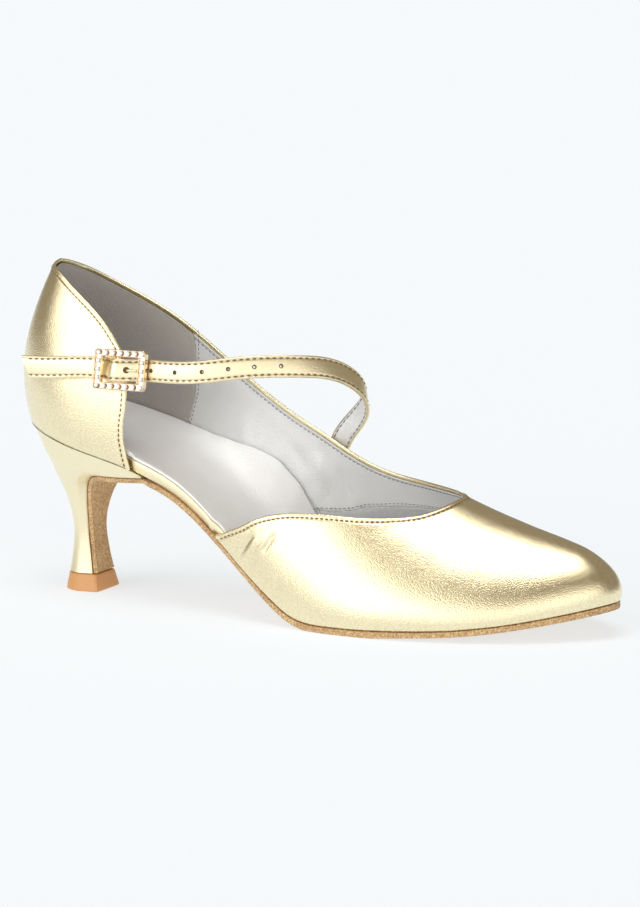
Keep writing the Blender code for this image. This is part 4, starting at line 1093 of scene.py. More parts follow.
def buildLinings():
    # one mesh for each zone, in the order of its number
    kinds = (("lining_silver", silverLining), ("lining_heel", heelLining), ("lining_vamp", vampLining))
    parts = [([], [], []) for _ in kinds]
    for (side, share, girth), grid, normal in zip(gridShares, grids, normals):
        if side == inner:
            share, girth = snapToSeams(share, girth)
            grid, normal = lastPoint(side, share, girth), lastNormal(side, share, girth)
        distance, nearest = edgeDistance(grid)
        zone = liningZone(side, share, girth)
        pullIn = lining["drop"] * np.clip(1 - distance / lining["dropReach"], 0, 1)
        relief = np.zeros(distance.shape)
        if side == inner:
            relief = creaseRelief(grid, creases["lining"]) * softStep(distance, *lining["creasesFrom"])
        relief += slowWaves(grid, *lining["waves"]) * softStep(distance, *lining["wavesFrom"])
        groove = np.exp(-((distance - lining["stitchIn"]) / lining["grooveWidth"]) ** 2)
        depth = shoe["wall"] + relief - lining["grooveDepth"] * groove
        depth = depth + np.where(zone == 0, -lining["sunk"], lining["step"] - lining["sunk"])
        skin = grid - edgeOut[nearest] * pullIn[..., None] - normal * depth[..., None]
        flat = skin.reshape(-1, 3)
        flatMask = lining["seamShade"] * groove.reshape(-1)
        flatZone = zone.reshape(-1)
        base = ringFaces(len(skin), upper["rows"], False)
        for k, (points, faces, masks) in enumerate(parts):
            # the silver leather ends at its seams, and the others reach a face beyond them
            reaches = np.all if k == 0 else np.any
            chosen = [f for f in base if reaches(flatZone[list(f)] == k)]
            used = sorted({i for f in chosen for i in f})
            place = {i: len(points) + n for n, i in enumerate(used)}
            points += [flat[i] for i in used]
            masks += [flatMask[i] for i in used]
            faces += [tuple(place[i] for i in f) for f in chosen]
    made = []
    for (name, mat), (points, faces, masks) in zip(kinds, parts):
        obj = makePiece(name, points, faces, [mat], merge=2e-6, smoothAngle=60.0,
                        values={"seam": masks})
        thicken = obj.modifiers.new("thickness", "SOLIDIFY")
        thicken.thickness = lining["thick"] * mm
        thicken.offset = 0.0
        made.append(obj)
    return made


for piece in buildLinings():
    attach(piece, "root")
    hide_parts("upper")
print("linings made")

# bottom of the shoe: covered board, padded sock and suede sole
bottom = {
    "board": sized((
        (-0.0833, 0.06), (0.1417, 0.07), (0.3, 0.07), (0.4, 0.05), (0.5, 0.037),
        (0.9125, 0.03)), "xz"),
    "soleUnder": sized((
        (0.1833, 0.758), (0.2083, 0.717), (0.2333, 0.66), (0.2667, 0.563), (0.3, 0.453),
        (0.3333, 0.337), (0.3667, 0.222), (0.4, 0.118), (0.4333, 0.038),
        (0.4625, 0.002), (0.5167, -0.005), (0.575, 0.0), (0.6167, 0.012),
        (0.6875, 0.03), (0.7708, 0.07), (0.8458, 0.123), (0.9125, 0.177)), "xz"),
    "sockThick": 1.0,
    # raised edges of the sock: x, outer side, inner side
    "sockLift": sized((
        (-0.0833, 0.053, 0.053), (0.0208, 0.073, 0.08), (0.0917, 0.057, 0.073),
        (0.1417, 0.013, 0.072), (0.1583, 0.0, 0.077), (0.1917, 0.0, 0.093),
        (0.2333, 0.0, 0.143), (0.2708, 0.0, 0.223), (0.3083, 0.0, 0.293),
        (0.3417, 0.0, 0.277), (0.3667, 0.0, 0.183), (0.3958, 0.0, 0.083),
        (0.4333, 0.0, 0.02), (0.4667, 0.0, 0.0), (0.9125, 0.0, 0.0)), "xzz"),
    "waistOpening": sized((0.1562, 0.2958), "xx"),
    "coveredInset": 1.9,
    "bareInset": 0.6,
    # where across the sock its rise begins, how it steepens, and its reach at a narrow end
    "cupStart": 0.25,
    "cupPower": 1.7,
    "cupReach": 14.0,
    # the sock's rounded edge: share across at which it begins, and its drop
    "sockEdge": (0.985, 0.45),
    "boardEdgeRadius": 0.7,
    # length shares: end of the close stations at the heel, and start of those at the toe
    "stationEnds": (0.24, 0.82),
    # a station narrower than this is left out at the two ends
    "narrowest": 0.6,
}
boardThick = spline(*bottom["board"].T)
soleUnder = spline(*bottom["soleUnder"].T)
sockLift = bottom["sockLift"]


def waistInset(x):
    low, high = bottom["waistOpening"]
    bare = softStep(x, low - 1.0, low + 0.4) * (1 - softStep(x, high - 0.4, high + 1.0))
    return bottom["coveredInset"] + (bottom["bareInset"] - bottom["coveredInset"]) * bare


def insetStation(share, outerInset, innerInset):
    outEdge = planPoint(outer, share) - planOutward(outer, share) * outerInset
    inEdge = planPoint(inner, share) - planOutward(inner, share) * innerInset
    return (outEdge[0] + inEdge[0]) / 2, max(-outEdge[1], 0.0), max(inEdge[1], 0.0)


def bottomShares(count):
    # stations from heel to toe, closer together at both ends
    heelPart, toeStart = bottom["stationEnds"]
    heelEnd = 0.5 * (1 - np.cos(np.linspace(0, np.pi / 2, 24))) * heelPart
    toeEnd = toeStart + (1 - toeStart) * np.sin(np.linspace(0.0, np.pi / 2, 28))
    middle = np.linspace(heelPart / 2, toeStart, count)
    return np.unique(np.concatenate([heelEnd, middle, toeEnd]))


def slabRing(x, base, top, outHalf, inHalf, roundness, across=13):
    # cross-section of a layer: round the inner edge, over to the outer one and back underneath
    thick = top - base
    r = min(roundness, thick * 0.5, max(outHalf + inHalf, 0.01) * 0.45)
    turn = np.linspace(-np.pi / 2, np.pi / 2, 7)
    rises = [(thick - 2 * r) * (a > 0) + r * math.sin(a) for a in turn]
    innerRound = [(inHalf - r + r * math.cos(a), base + r + rise) for a, rise in zip(turn, rises)]
    flatTop = [(y, top) for y in np.linspace(inHalf - r, -(outHalf - r), across)[1:-1]]
    outerRound = [(-(outHalf - r) - r * math.cos(a), top - r - rise) for a, rise in zip(turn, rises)]
    flatBase = [(y, base) for y in np.linspace(-(outHalf - r), inHalf - r, across)[1:-1]]
    return np.array([(x, y, z) for y, z in innerRound + flatTop + outerRound + flatBase])


def buildBoard():
    rings = []
    for share in bottomShares(120):
        inset = float(waistInset(float(outlineX(share))))
        mid, outHalf, inHalf = insetStation(share, inset, bottom["coveredInset"])
        if outHalf + inHalf < bottom["narrowest"]:
            continue
        base = float(featherZ(mid))
        rings.append(slabRing(mid, base, base + float(boardThick(mid)), outHalf, inHalf,
                              bottom["boardEdgeRadius"]))
    return sweep("board_cover", rings, [goldBoard], smoothAngle=60.0)


def wallHalf(side, share, height, steps=60):
    # half width between the upper's walls at a height, a little inside them
    girth = np.linspace(0.0, 0.6, steps)
    points = lastPoint(side, np.full(steps, share), girth)
    return float(np.interp(height, points[:, 2], np.abs(points[:, 1]))) - 1.06 * shoe["wall"]


def sockHeights(share):
    # middle, half widths and underside of the sock at one station
    x = float(outlineX(share))
    half = shoe["gap"] / 2
    mid, outHalf, inHalf = insetStation(share, float(waistInset(x)) + half,
                                        bottom["coveredInset"] + half)
    base = float(featherZ(mid)) + float(boardThick(mid)) + shoe["gap"]
    return mid, outHalf, inHalf, base


def sockTop(share, t):
    # point of the sock's top, with t from -1 at the outer edge to 1 at the inner one
    mid, outHalf, inHalf, base = sockHeights(share)
    side = outer if t < 0 else inner
    edge = outHalf if t < 0 else inHalf
    raised = float(np.interp(mid, sockLift[:, 0], sockLift[:, 1 + side]))
    near = max(abs(t), 1.0 - edge / bottom["cupReach"])
    start = bottom["cupStart"]
    raised *= max(0.0, (near - start) / (1.0 - start)) ** bottom["cupPower"]
    top = base + bottom["sockThick"] + raised
    wide = edge
    if raised > 0.5 and edge > 3.0:
        wide = min(edge, wallHalf(side, share, top) - 0.05)
    return np.array([mid, t * wide, top])


def buildSock():
    across = np.sin(np.linspace(-np.pi / 2, np.pi / 2, 49))
    roundFrom, roundDrop = bottom["sockEdge"]
    rings = []
    for share in bottomShares(150):
        mid, outHalf, inHalf, base = sockHeights(share)
        if outHalf + inHalf < bottom["narrowest"]:
            continue
        high = [sockTop(share, t) for t in across]
        low = [np.array([mid, t * (outHalf if t < 0 else inHalf), base]) for t in across]
        for t, p in zip(across, high):
            p[2] -= roundDrop * max(0.0, (abs(t) - roundFrom) / (1 - roundFrom)) ** 2
        rings.append(np.array(low + high[::-1]))
    return sweep("sock_cover", rings, [silverSock], smoothAngle=50.0)


heel = {
    # from the neck to the seat and wing: rear x, rear z, front x, front z, half width, front half
    # width, length of the round back
    "rows": sized((
        (-0.0204, 0.112, 0.0317, 0.112, 0.099, 0.091, 0.0308),
        (-0.0179, 0.167, 0.0292, 0.167, 0.092, 0.083, 0.0288),
        (-0.0142, 0.267, 0.0254, 0.267, 0.083, 0.075, 0.0258),
        (-0.0125, 0.367, 0.0225, 0.367, 0.08, 0.072, 0.025),
        (-0.0146, 0.467, 0.0225, 0.467, 0.091, 0.08, 0.0275),
        (-0.0204, 0.567, 0.0258, 0.567, 0.117, 0.104, 0.0358),
        (-0.0292, 0.667, 0.0333, 0.667, 0.163, 0.141, 0.0517),
        (-0.0371, 0.75, 0.0437, 0.727, 0.211, 0.181, 0.0667),
        (-0.0437, 0.833, 0.0625, 0.77, 0.259, 0.24, 0.0875),
        (-0.0542, 0.917, 0.0917, 0.788, 0.304, 0.301, 0.1125),
        (-0.065, 1.0, 0.1292, 0.797, 0.332, 0.333, 0.1458),
        (-0.0746, 1.063, 0.1688, 0.807, 0.347, 0.347, 0.1667)), "xzxzyyx"),
    "seat": sized((-0.08, 0.0, 0.1688, 0.0, 0.352, 0.352, 0.1717), "xzxzyyx"),
    "seatBackX": shoe["length"] * -0.0417,
    # rows of the table between which the section takes on the outline's unequal halves
    "blend": (6.0, 10.5),
    "corner": 0.6,
    "rings": 56,
    # points round the back, along a side and across the front
    "arc": 22,
    "straight": 14,
    "cross": 12,
}


def heelEdges(row):
    # half of a section in plan, round the back and forward along the side
    rearX, _, frontX, _, half, frontHalf, back = row
    edge = []
    for angle in np.linspace(0.0, math.pi / 2, heel["arc"]):
        edge.append((rearX + back * (1 - math.cos(angle)), half * math.sin(angle)))
    for part in np.linspace(0.0, 1.0, heel["straight"])[1:]:
        edge.append((rearX + back + (frontX - rearX - back) * part,
                     half + (frontHalf - half) * part))
    return edge


def acrossFront(first, second):
    return [first + (second - first) * part for part in np.linspace(0, 1, heel["cross"])[1:-1]]


def heelSection(row, blend, corner):
    # closed ring round the heel, its front corners rounded in short steps
    rearX, rearZ, frontX, frontZ = row[:4]
    edge = heelEdges(row)
    sides = []
    for side in (outer, inner):
        points = []
        for x, y in edge:
            share = (x - rearX) / (frontX - rearX)
            z = rearZ + (frontZ - rearZ) * share
            seatX = max(x, heel["seatBackX"])
            ratio = outlineHalf(side, seatX) / outlineHalf(outer, seatX)
            points.append((x, sideSign[side] * y * (1 + (ratio - 1) * blend), z))
        points = np.array(points)
        ahead = unit(points[-1] - points[-2])
        points[-1] = points[-1] - ahead * corner * 0.3 - [0, sideSign[side] * corner * 0.3, 0]
        points[-2] = points[-1] - ahead * corner * 0.9 + [0, sideSign[side] * corner * 0.28, 0]
        sides.append(points)
    cross = acrossFront(sides[0][-1], sides[1][-1])
    for point in cross:
        point[0] += corner * 0.3
    return np.concatenate([sides[0], cross, sides[1][::-1][:-1]])


def seatRing():
    # top ring of the heel, just under the feather line
    template = heelEdges(heel["seat"])
    outSide, inSide = [np.array([(x, sideSign[side] * float(outlineHalf(side, x)), 0)
                                 for x, _ in template]) for side in (outer, inner)]
    ring = np.concatenate([outSide, acrossFront(outSide[-1], inSide[-1]), inSide[::-1][:-1]])
    ring[:, 2] = featherZ(ring[:, 0]) - shoe["gap"]
    return ring


def buildHeel():
    table = heel["rows"]
    t = np.arange(len(table), dtype=float)
    curves = [spline(t, table[:, k]) for k in range(7)]
    rings = []
    for level in np.linspace(0.0, t[-1], heel["rings"]):
        row = [float(c(level)) for c in curves]
        rings.append(heelSection(row, float(softStep(level, *heel["blend"])), heel["corner"]))
    top = seatRing()
    middle = rings[-1] * 0.5 + top * 0.5
    rings += [middle, top]
    count = len(rings[0])
    points = np.concatenate(rings)
    faces = ringFaces(len(rings), count)
    faces.append(tuple(reversed(range(count))))
    # the seat isn't flat, so it is closed by strips from side to side
    base = len(points) - count
    half = heel["arc"] + heel["straight"] - 2
    for i in range(1, half):
        faces.append((base + i, base + i + 1, base + count - i - 1, base + count - i))
    faces.append((base, base + 1, base + count - 1))
    faces.append(tuple(base + i for i in range(half, half + heel["cross"] + 1)))
    return makePiece("heel_cover", points, faces, [goldHeel], turnOut=True, smoothAngle=50.0)


def buildHeelTip():
    table = heelTip["rows"]
    curves = [spline(table[:, 1], table[:, k]) for k in (0, 2, 3, 4)]
    rings = []
    for z, inset in heelTip["rings"]:
        rear, front, half, frontHalf = [float(c(z)) for c in curves]
        rings.append(heelSection((rear + inset, z, front - inset, z, half - inset,
                                  frontHalf - inset, half - inset), 0.0, heelTip["corner"]))
    return sweep("heel_top_piece", rings, [tipPlastic], smoothAngle=50.0)


outsole = {
    # flap down the front of the heel; forward of the last value it stays inside the seat
    "flapThick": 1.6,
    "flapInset": 0.4,
    "flapFlareX": shoe["length"] * 0.075,
    # where it bends forward out of the heel: x, underside, upper side
    "bend": sized(((0.1833, 0.758, 0.788), (0.1958, 0.739, 0.775)), "xzz"),
    "span": sized((0.2125, 0.775), "xx"),
    "welt": 0.3,
    "weltSpan": sized((0.3333, 0.4583), "xx"),
    # places across its width, the outermost ones for its rounded edge
    "across": (-1.0, -0.985, *np.linspace(-0.96, 0.96, 17), 0.985, 1.0),
    "edgeRound": 0.22,
    "edgeBulge": 0.05,
}


def buildOutsole():
    table = heel["rows"][:, 2:4]
    length = np.concatenate([[0.0], np.cumsum(np.hypot(*np.diff(table, axis=0).T))])
    pathX, pathZ = spline(length, table[:, 0]), spline(length, table[:, 1])
    widths = spline(length, heel["rows"][:, 5])
    gap, thick = shoe["gap"], outsole["flapThick"]
    stations = []
    for at in np.linspace(0.0, length[-1], 70):
        x, z = float(pathX(at)), float(pathZ(at))
        dx = float(pathX(at + 0.05) - pathX(at - 0.05))
        dz = float(pathZ(at + 0.05) - pathZ(at - 0.05))
        size = math.hypot(dx, dz)
        nx, nz = dz / size, -dx / size
        half = float(widths(at)) - outsole["flapInset"]
        seatHalf = float(outlineHalf(inner, x)) - 2 * outsole["flapInset"]
        inHalf = min(half, seatHalf) if x > outsole["flapFlareX"] else half
        stations.append(((x + nx * (gap + thick), z + nz * (gap + thick)),
                         (x + nx * gap, z + nz * gap), half, inHalf))
    for x, low, high in outsole["bend"]:
        stations.append(((x, low), (x, high), outlineHalf(outer, x) - outsole["flapInset"] / 2,
                         outlineHalf(inner, x) - outsole["flapInset"] / 2))
    toe = shareOf(outsole["span"][1])
    shares = np.concatenate([shareOf(np.linspace(*outsole["span"], 120)),
                             1.0 - (1.0 - toe) * (1 - np.linspace(0.0, 1.0, 34)[1:]) ** 1.9])
    for share in shares:
        x = float(outlineX(share))
        welt = outsole["welt"] * float(softStep(x, *outsole["weltSpan"])) * (share < 0.999)
        low = max(float(soleUnder(x)), 0.0)
        stations.append(((x, low), (x, float(featherZ(x)) - gap),
                         max(float(outlineY[outer](share)) + welt, 0.0),
                         max(float(outlineY[inner](share)) + welt, 0.0)))
    rings = []
    places = np.array(outsole["across"])
    inset = np.where(np.abs(places) > 0.999, outsole["edgeRound"], 0.0)
    bulge = outsole["edgeBulge"]
    for low, high, outHalf, inHalf in stations:
        low, high = np.array(low), np.array(high)
        ys = np.where(places < 0, places * outHalf, places * inHalf)
        span = high - low
        tall = max(np.linalg.norm(span), 1e-6)
        under = [low + span * d / tall for d in inset]
        over = [high - span * d * 0.6 / tall for d in inset]
        middle = [low + span * part for part in (0.33, 0.66)]
        # round the section: underside, inner edge, upper side and outer edge
        flat = ([(*p, y) for p, y in zip(under, ys)] + [(*p, inHalf + bulge) for p in middle]
                + [(*p, y) for p, y in zip(over, ys)][::-1]
                + [(*p, -outHalf - bulge) for p in middle][::-1])
        rings.append(np.array([(x, y, z) for x, z, y in flat]))
    return sweep("suede_sole", rings, [tanSuede], smoothAngle=60.0)


board, sock = buildBoard(), buildSock()
for piece, node, slotName in (
        (board, "insole_board", "board_leather"), (sock, "sock", "sock_leather"),
        (buildOutsole(), "outsole", "sole_suede"), (buildHeel(), "heel", "heel_leather"),
        (buildHeelTip(), "heel_tip", "tip_plastic")):
    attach(piece, "root")
    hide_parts(node)
print("bottom made")

# buckle and strap; depths are out from the frame's middle plane
buckle = {
    "centre": sized((0.1417, -0.387, 1.477), "xyz"),
    "tilt": 11.0,
    "long": 21.4,
    "tall": 14.8,
    "deep": 2.3,
    "windowLong": 15.2,
    "windowTall": 9.4,
    "channelWide": 1.9,
    "channelDeep": 1.1,
    "rimRadius": 1.4,
    "windowRadius": 0.7,
    "barAt": -2.0,
    "barDeep": -1.35,
    "barDiameter": 1.0,
    "prongDiameter": 1.0,
    # forward in half windows, outward in half depths
    "prong": (
        (0.013, -1.478), (0.171, -1.304), (0.303, -0.609), (0.408, 0.348), (0.605, 0.652),
        (0.908, 0.522)),
    "crystalDiameter": 1.8,
    "crystalsLong": 7,
    "crystalsTall": 5,
    # radius and height of the cut in diameters: point, girdle, crown and table
    "crystalCut": ((0.12, 0.0), (0.5, 0.32), (0.5, 0.38), (0.43, 0.52), (0.27, 0.60)),
}

# from the punched tail through the buckle and over the instep to the root on the inner side
strap = {
    # the tail: x, y, z, outward x, outward y, outward z
    "tail": sized((
        (-0.0317, -0.391, 1.46, 0.02, -1.0, 0.05), (0.0308, -0.376, 1.468, 0.01, -1.0, 0.1)), "xyz---"),
    # through the buckle: forward in buckle lengths, inward in buckle depths, outward z
    "throughBuckle": (
        (-0.794, 0.783, 0.16), (-0.537, 1.109, 0.19), (-0.364, 1.152, 0.19), (-0.266, 0.609, 0.19),
        (-0.178, -0.239, 0.19), (-0.084, -0.543, 0.19), (0.009, -0.304, 0.19), (0.131, 0.174, 0.19),
        (0.28, 0.804, 0.19), (0.402, 1.109, 0.18), (0.584, 1.109, 0.18)),
    # from the buckle over the instep to the root: x, y, z, outward x, outward y, outward z
    "route": sized((
        (0.2342, -0.359, 1.478, 0.08, -1.0, 0.16),
        (0.2729, -0.341, 1.487, 0.18, -1.0, 0.16),
        (0.3092, -0.303, 1.505, 0.3, -0.97, 0.18), (0.3429, -0.251, 1.518, 0.42, -0.9, 0.2),
        (0.3742, -0.187, 1.52, 0.55, -0.82, 0.24), (0.4025, -0.12, 1.515, 0.66, -0.7, 0.28),
        (0.4246, -0.047, 1.503, 0.78, -0.52, 0.32),
        (0.4408, 0.02, 1.478, 0.86, -0.34, 0.34), (0.4529, 0.093, 1.433, 0.92, -0.14, 0.32),
        (0.4617, 0.153, 1.375, 0.94, 0.08, 0.26), (0.4646, 0.199, 1.313, 0.88, 0.32, 0.18),
        (0.4604, 0.239, 1.245, 0.76, 0.55, 0.12), (0.4483, 0.271, 1.177, 0.55, 0.78, 0.1),
        (0.4325, 0.293, 1.11, 0.3, 0.95, 0.12), (0.4158, 0.308, 1.037, 0.1, 1.0, 0.18),
        (0.4025, 0.321, 0.953, 0.0, 1.0, 0.25), (0.3925, 0.337, 0.867, -0.02, 1.0, 0.27),
        (0.3842, 0.352, 0.783, -0.02, 1.0, 0.27)), "xyz---"),
    "half": 4.1,
    "thick": 1.5,
    "holeDiameter": 1.7,
    "holeX": sized((0.1913, 0.2333, 0.2758, 0.3137, 0.3483, 0.3817), "xxxxxx"),
    "prongHoleAt": 2.4,
    "prongHoleDiameter": 2.4,
    # the punch, turned: radius and height in hole diameters, full width only at the face
    "punch": ((0.24, -1.2), (0.24, -0.18), (0.5, -0.05), (0.5, 1.2)),
    "stitchIn": 1.15,
    "grooveWidth": 0.33,
    "grooveDepth": 0.16,
    "backGrooveDepth": 0.10,
    "seamShade": 0.22,
    "backSeamShade": 0.6,
    # the padded middle: its height, and its reach as a share of the half width
    "crown": (0.16, 0.75),
    # how far the face beside the crown and the rounded edges lie inside the full thickness
    "faceSink": 0.1,
    "edgeSink": 0.05,
    "edgeRadius": 0.55,
    "slant": 3.6,
    "slantLength": 6.0,
    "rings": 420,
}


def strapFrames(count):
    # run along the strap, centre line, tangent, outward direction and direction across
    cx, cy, cz = buckle["centre"]
    passing = [(cx + forward * buckle["long"], cy + inward * buckle["deep"], cz, 0.0, -1.0, lift)
               for forward, inward, lift in strap["throughBuckle"]]
    table = np.concatenate([strap["tail"], passing, strap["route"]])
    steps = np.linalg.norm(np.diff(table[:, :3], axis=0), axis=1)
    length = np.concatenate([[0.0], np.cumsum(steps)])
    curves = [spline(length, table[:, k]) for k in range(6)]
    s = np.linspace(0.0, length[-1], count)
    centre = np.stack([c(s) for c in curves[:3]], -1)
    tangent = unit(np.stack([c(s + 0.1) - c(s - 0.1) for c in curves[:3]], -1))
    out = np.stack([c(s) for c in curves[3:]], -1)
    out = unit(out - tangent * np.sum(out * tangent, axis=1)[:, None])
    return s, centre, tangent, out, np.cross(tangent, out)


def strapShift(s, w):
    # the tail's end is cut at a slant, shorter along its lower edge
    return np.maximum(0.0, 1.0 - s / strap["slantLength"]) * strap["slant"] * (0.5 + 0.5 * w)


def strapProfile():
    # section as place across, height, seam mask and 1 on the lined back
    half, thick, r = strap["half"], strap["thick"], strap["edgeRadius"]
    beside = np.array([0.6, 0.85, 1.15, 1.45, 1.8]) / half
    across = np.unique(np.concatenate([np.linspace(-1, 1, 9), [-0.9, 0.9, -0.83, 0.83],
                                       -1 + beside, 1 - beside]))
    across = across[np.abs(across) < 1 - 0.5 / half]
    turn = np.linspace(-np.pi / 2, np.pi / 2, 7)
    crown, crownReach = strap["crown"]
    # 1 in the middle of a stitch groove, falling to 0 beside it
    grooves = [math.exp(-((half * (1 - abs(w)) - strap["stitchIn"]) / strap["grooveWidth"]) ** 2)
               for w in across]

    def roundEdge(sign):
        return [(sign * (half - r + r * math.cos(a)),
                 (thick / 2 - r) * np.sign(a) + r * math.sin(a) - strap["edgeSink"], 0.0, 0)
                for a in turn[::-sign]]

    face = [(w * half, thick / 2 - strap["grooveDepth"] * groove
             + crown * math.cos(math.pi / 2 * min(1.0, abs(w) / crownReach)) - strap["faceSink"],
             strap["seamShade"] * groove, 0) for w, groove in zip(across, grooves)]
    back = [(w * half, -thick / 2 + strap["backGrooveDepth"] * groove,
             strap["backSeamShade"] * groove, 1) for w, groove in zip(across, grooves)]
    return face + roundEdge(1) + back[::-1] + roundEdge(-1)


def buildStrap():
    profile = strapProfile()
    rings = []
    for s, centre, tangent, out, side in zip(*strapFrames(strap["rings"])):
        rings.append(np.array([
            centre + side * w + out * n + tangent * float(strapShift(s, w / strap["half"]))
            for w, n, _, _ in profile]))
    around = len(profile)
    lined = [row[3] for row in profile]
    faceMaterial = [lined[i] * lined[(i + 1) % around] for i in range(around)] * (len(rings) - 1)
    masks = [row[2] for row in profile] * len(rings)
    return sweep("strap_band", rings, [goldStrap, silverLining], faceMaterial, smoothAngle=60.0,
                 values={"seam": masks})


def seamLine(inset, trim):
    # line on the leather at a distance inside the free edge, short of its ends by the trim
    line = edgeLine - edgeOut * inset
    flat = np.concatenate([g.reshape(-1, 3) for g in outerSkin])
    flatNormals = np.concatenate([n.reshape(-1, 3) for n in normals])
    found, outs = [], []
    for p in line:
        gap = ((flat - p) ** 2).sum(1)
        i = int(gap.argmin())
        n = flatNormals[i]
        found.append(p + n * float((flat[i] - p) @ n))
        outs.append(n)
    found, outs = np.array(found), np.array(outs)
    length = np.concatenate([[0.0], np.cumsum(np.linalg.norm(np.diff(found, axis=0), axis=1))])
    keep = (length >= trim) & (length <= length[-1] - trim)
    return found[keep], outs[keep]


def strapAt(x):
    # centre and outward direction of the strap where it passes x on the buckle's side
    _, centre, _, out, _ = strapFrames(800)
    near = np.where(centre[:, 1] < 2.0)[0]
    k = near[np.abs(centre[near, 0] - x).argmin()]
    return centre[k], out[k]


def roundModel(name, rows, sides, mat):
    # turned model along Z in metres: radius and height of each ring
    turn = np.arange(sides) * 2 * math.pi / sides
    points = [(r * math.cos(a), r * math.sin(a), z) for r, z in rows for a in turn]
    faces = ringFaces(len(rows), sides)
    faces.append(tuple(reversed(range(sides))))
    faces.append(tuple(range(len(points) - sides, len(points))))
    mesh = bpy.data.meshes.new(name)
    mesh.from_pydata(points, [], faces)
    mesh.materials.append(mat)
    obj = bpy.data.objects.new(name, mesh)
    bpy.context.scene.collection.objects.link(obj)
    return obj


def punchStrap(band):
    # real holes, their walls in the raw colour of the leather
    spots = [(x, strap["holeDiameter"]) for x in strap["holeX"]]
    spots.append((buckle["centre"][0] + strap["prongHoleAt"], strap["prongHoleDiameter"]))
    placed = [(strapAt(x), wide) for x, wide in spots]
    model = roundModel("punch", strap["punch"], 20, holeWall)
    punches = copiesAt("strap_punches", model, [p for (p, _), _ in placed],
                       [o for (_, o), _ in placed], [wide * mm for _, wide in placed], holeWall)
    cut = band.modifiers.new("holes", "BOOLEAN")
    cut.operation = "DIFFERENCE"
    cut.solver = "EXACT"
    cut.material_mode = "TRANSFER"
    cut.object = punches
    made = finishedCopy(band, "strap_band")
    bpy.data.objects.remove(punches)
    return made


strapBand = punchStrap(buildStrap())
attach(strapBand, "root")
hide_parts("strap")

stitching = {
    # pitch, length and thickness of the stitches in each row
    "topline": (1.86, 1.05, 0.30),
    "strap": (2.4, 1.4, 0.30),
    "strapBack": (2.4, 1.4, 0.16),
    "liningSeams": (1.7, 1.0, 0.14),
    "liningEdge": (1.9, 1.1, 0.14),
    # ends of the topline, and of the strap from its tail and its root, that have no stitches
    "toplineTrim": 2.0,
    "strapTrim": (3.5, 2.0),
    # depth of the strap's stitches in its face
    "strapSink": 0.24,
    # rows beside the lining's seams: first and last share, points, distance to the seam
    "heelSeamRow": (0.06, 0.62, 90, 1.3),
    "vampSeamRow": (0.415, 0.74, 110, -1.3),
    "aboveLining": 0.21,
    # row under the lining's top edge: below it, and into the shoe from the inner wall
    "edgeRowDrop": 1.2,
    "edgeRowIn": 0.10,
}


def stitchTopline():
    line, outs = seamLine(upper["stitchIn"], stitching["toplineTrim"])
    stitchRow("topline_stitches", [line], [outs], goldThread, *stitching["topline"])


def stitchStrap():
    run, centre, _, out, across = strapFrames(strap["rings"])
    first, short = stitching["strapTrim"]
    keep = (run > first) & (run < run[-1] - short)
    out = out[keep]
    reach = across[keep] * (strap["half"] - strap["stitchIn"])
    depth = strap["thick"] / 2 - stitching["strapSink"]
    face = [centre[keep] + w * reach + out * depth for w in (-1, 1)]
    stitchRow("strap_stitches", face, [out, out], goldThread, *stitching["strap"])
    back = [line - out * (strap["thick"] - stitching["strapSink"]) for line in face]
    stitchRow("strap_back_stitches", back, [-out, -out], silverThread, *stitching["strapBack"])


def liningRow(shares, girths, beside):
    # line on the lining of the inner wall, beside a seam, and its directions into the shoe
    out = -lastNormal(inner, shares, girths)
    line = lastPoint(inner, shares, girths)
    line = line + out * (shoe["wall"] - lining["sunk"] + stitching["aboveLining"])
    return line + unit(np.cross(tangents(line), out)) * beside, out


def stitchLinings():
    first, last, count, beside = stitching["heelSeamRow"]
    up = np.linspace(first, last, count)
    heelRow, heelOut = liningRow(heelSeamAt(up), up, beside)
    first, last, count, beside = stitching["vampSeamRow"]
    forward = np.linspace(first, last, count)
    vampRow, vampOut = liningRow(forward, vampSeamAt(forward), beside)
    stitchRow("lining_seam_stitches", [heelRow, vampRow], [heelOut, vampOut], silverThread,
              *stitching["liningSeams"])
    # the edge row is seen on the inner wall and in the vamp
    below = (edgeLine - edgeOut * (lining["drop"] + stitching["edgeRowDrop"])
             - edgeNormal * (shoe["wall"] + stitching["edgeRowIn"]))
    seen = (edgeLine[:, 1] > 0.5) | (edgeLine[:, 0] > 60.0)
    part = slice(int(np.argmax(seen)), -6)
    stitchRow("lining_edge_stitches", [below[part]], [-edgeNormal[part]], silverThread,
              *stitching["liningEdge"])


stitchTopline()
stitchStrap()
stitchLinings()
print("strap and stitches made")


def bucklePlace(long, tall, deep):
    # point from the buckle's centre: forward, up along its tilted face, and out from it
    tilt = math.radians(buckle["tilt"])
    up = np.array([0.0, math.sin(tilt), math.cos(tilt)])
    out = np.array([0.0, -math.cos(tilt), math.sin(tilt)])
    return buckle["centre"] + np.array([1.0, 0.0, 0.0]) * long + up * tall + out * deep


buckleUp = bucklePlace(0, 1, 0) - bucklePlace(0, 0, 0)
buckleOut = bucklePlace(0, 0, 1) - bucklePlace(0, 0, 0)


def roundedRing(halfLong, halfTall, radius, deep, steps=8):
    # rectangle with round corners, parallel to the buckle's face
    ring = []
    for sx, sz, start in ((1, 1, 0.0), (-1, 1, 90.0), (-1, -1, 180.0), (1, -1, 270.0)):
        for k in range(steps + 1):
            a = math.radians(start + 90.0 * k / steps)
            ring.append(bucklePlace(sx * (halfLong - radius) + radius * math.cos(a),
                                    sz * (halfTall - radius) + radius * math.sin(a), deep))
    return np.array(ring)


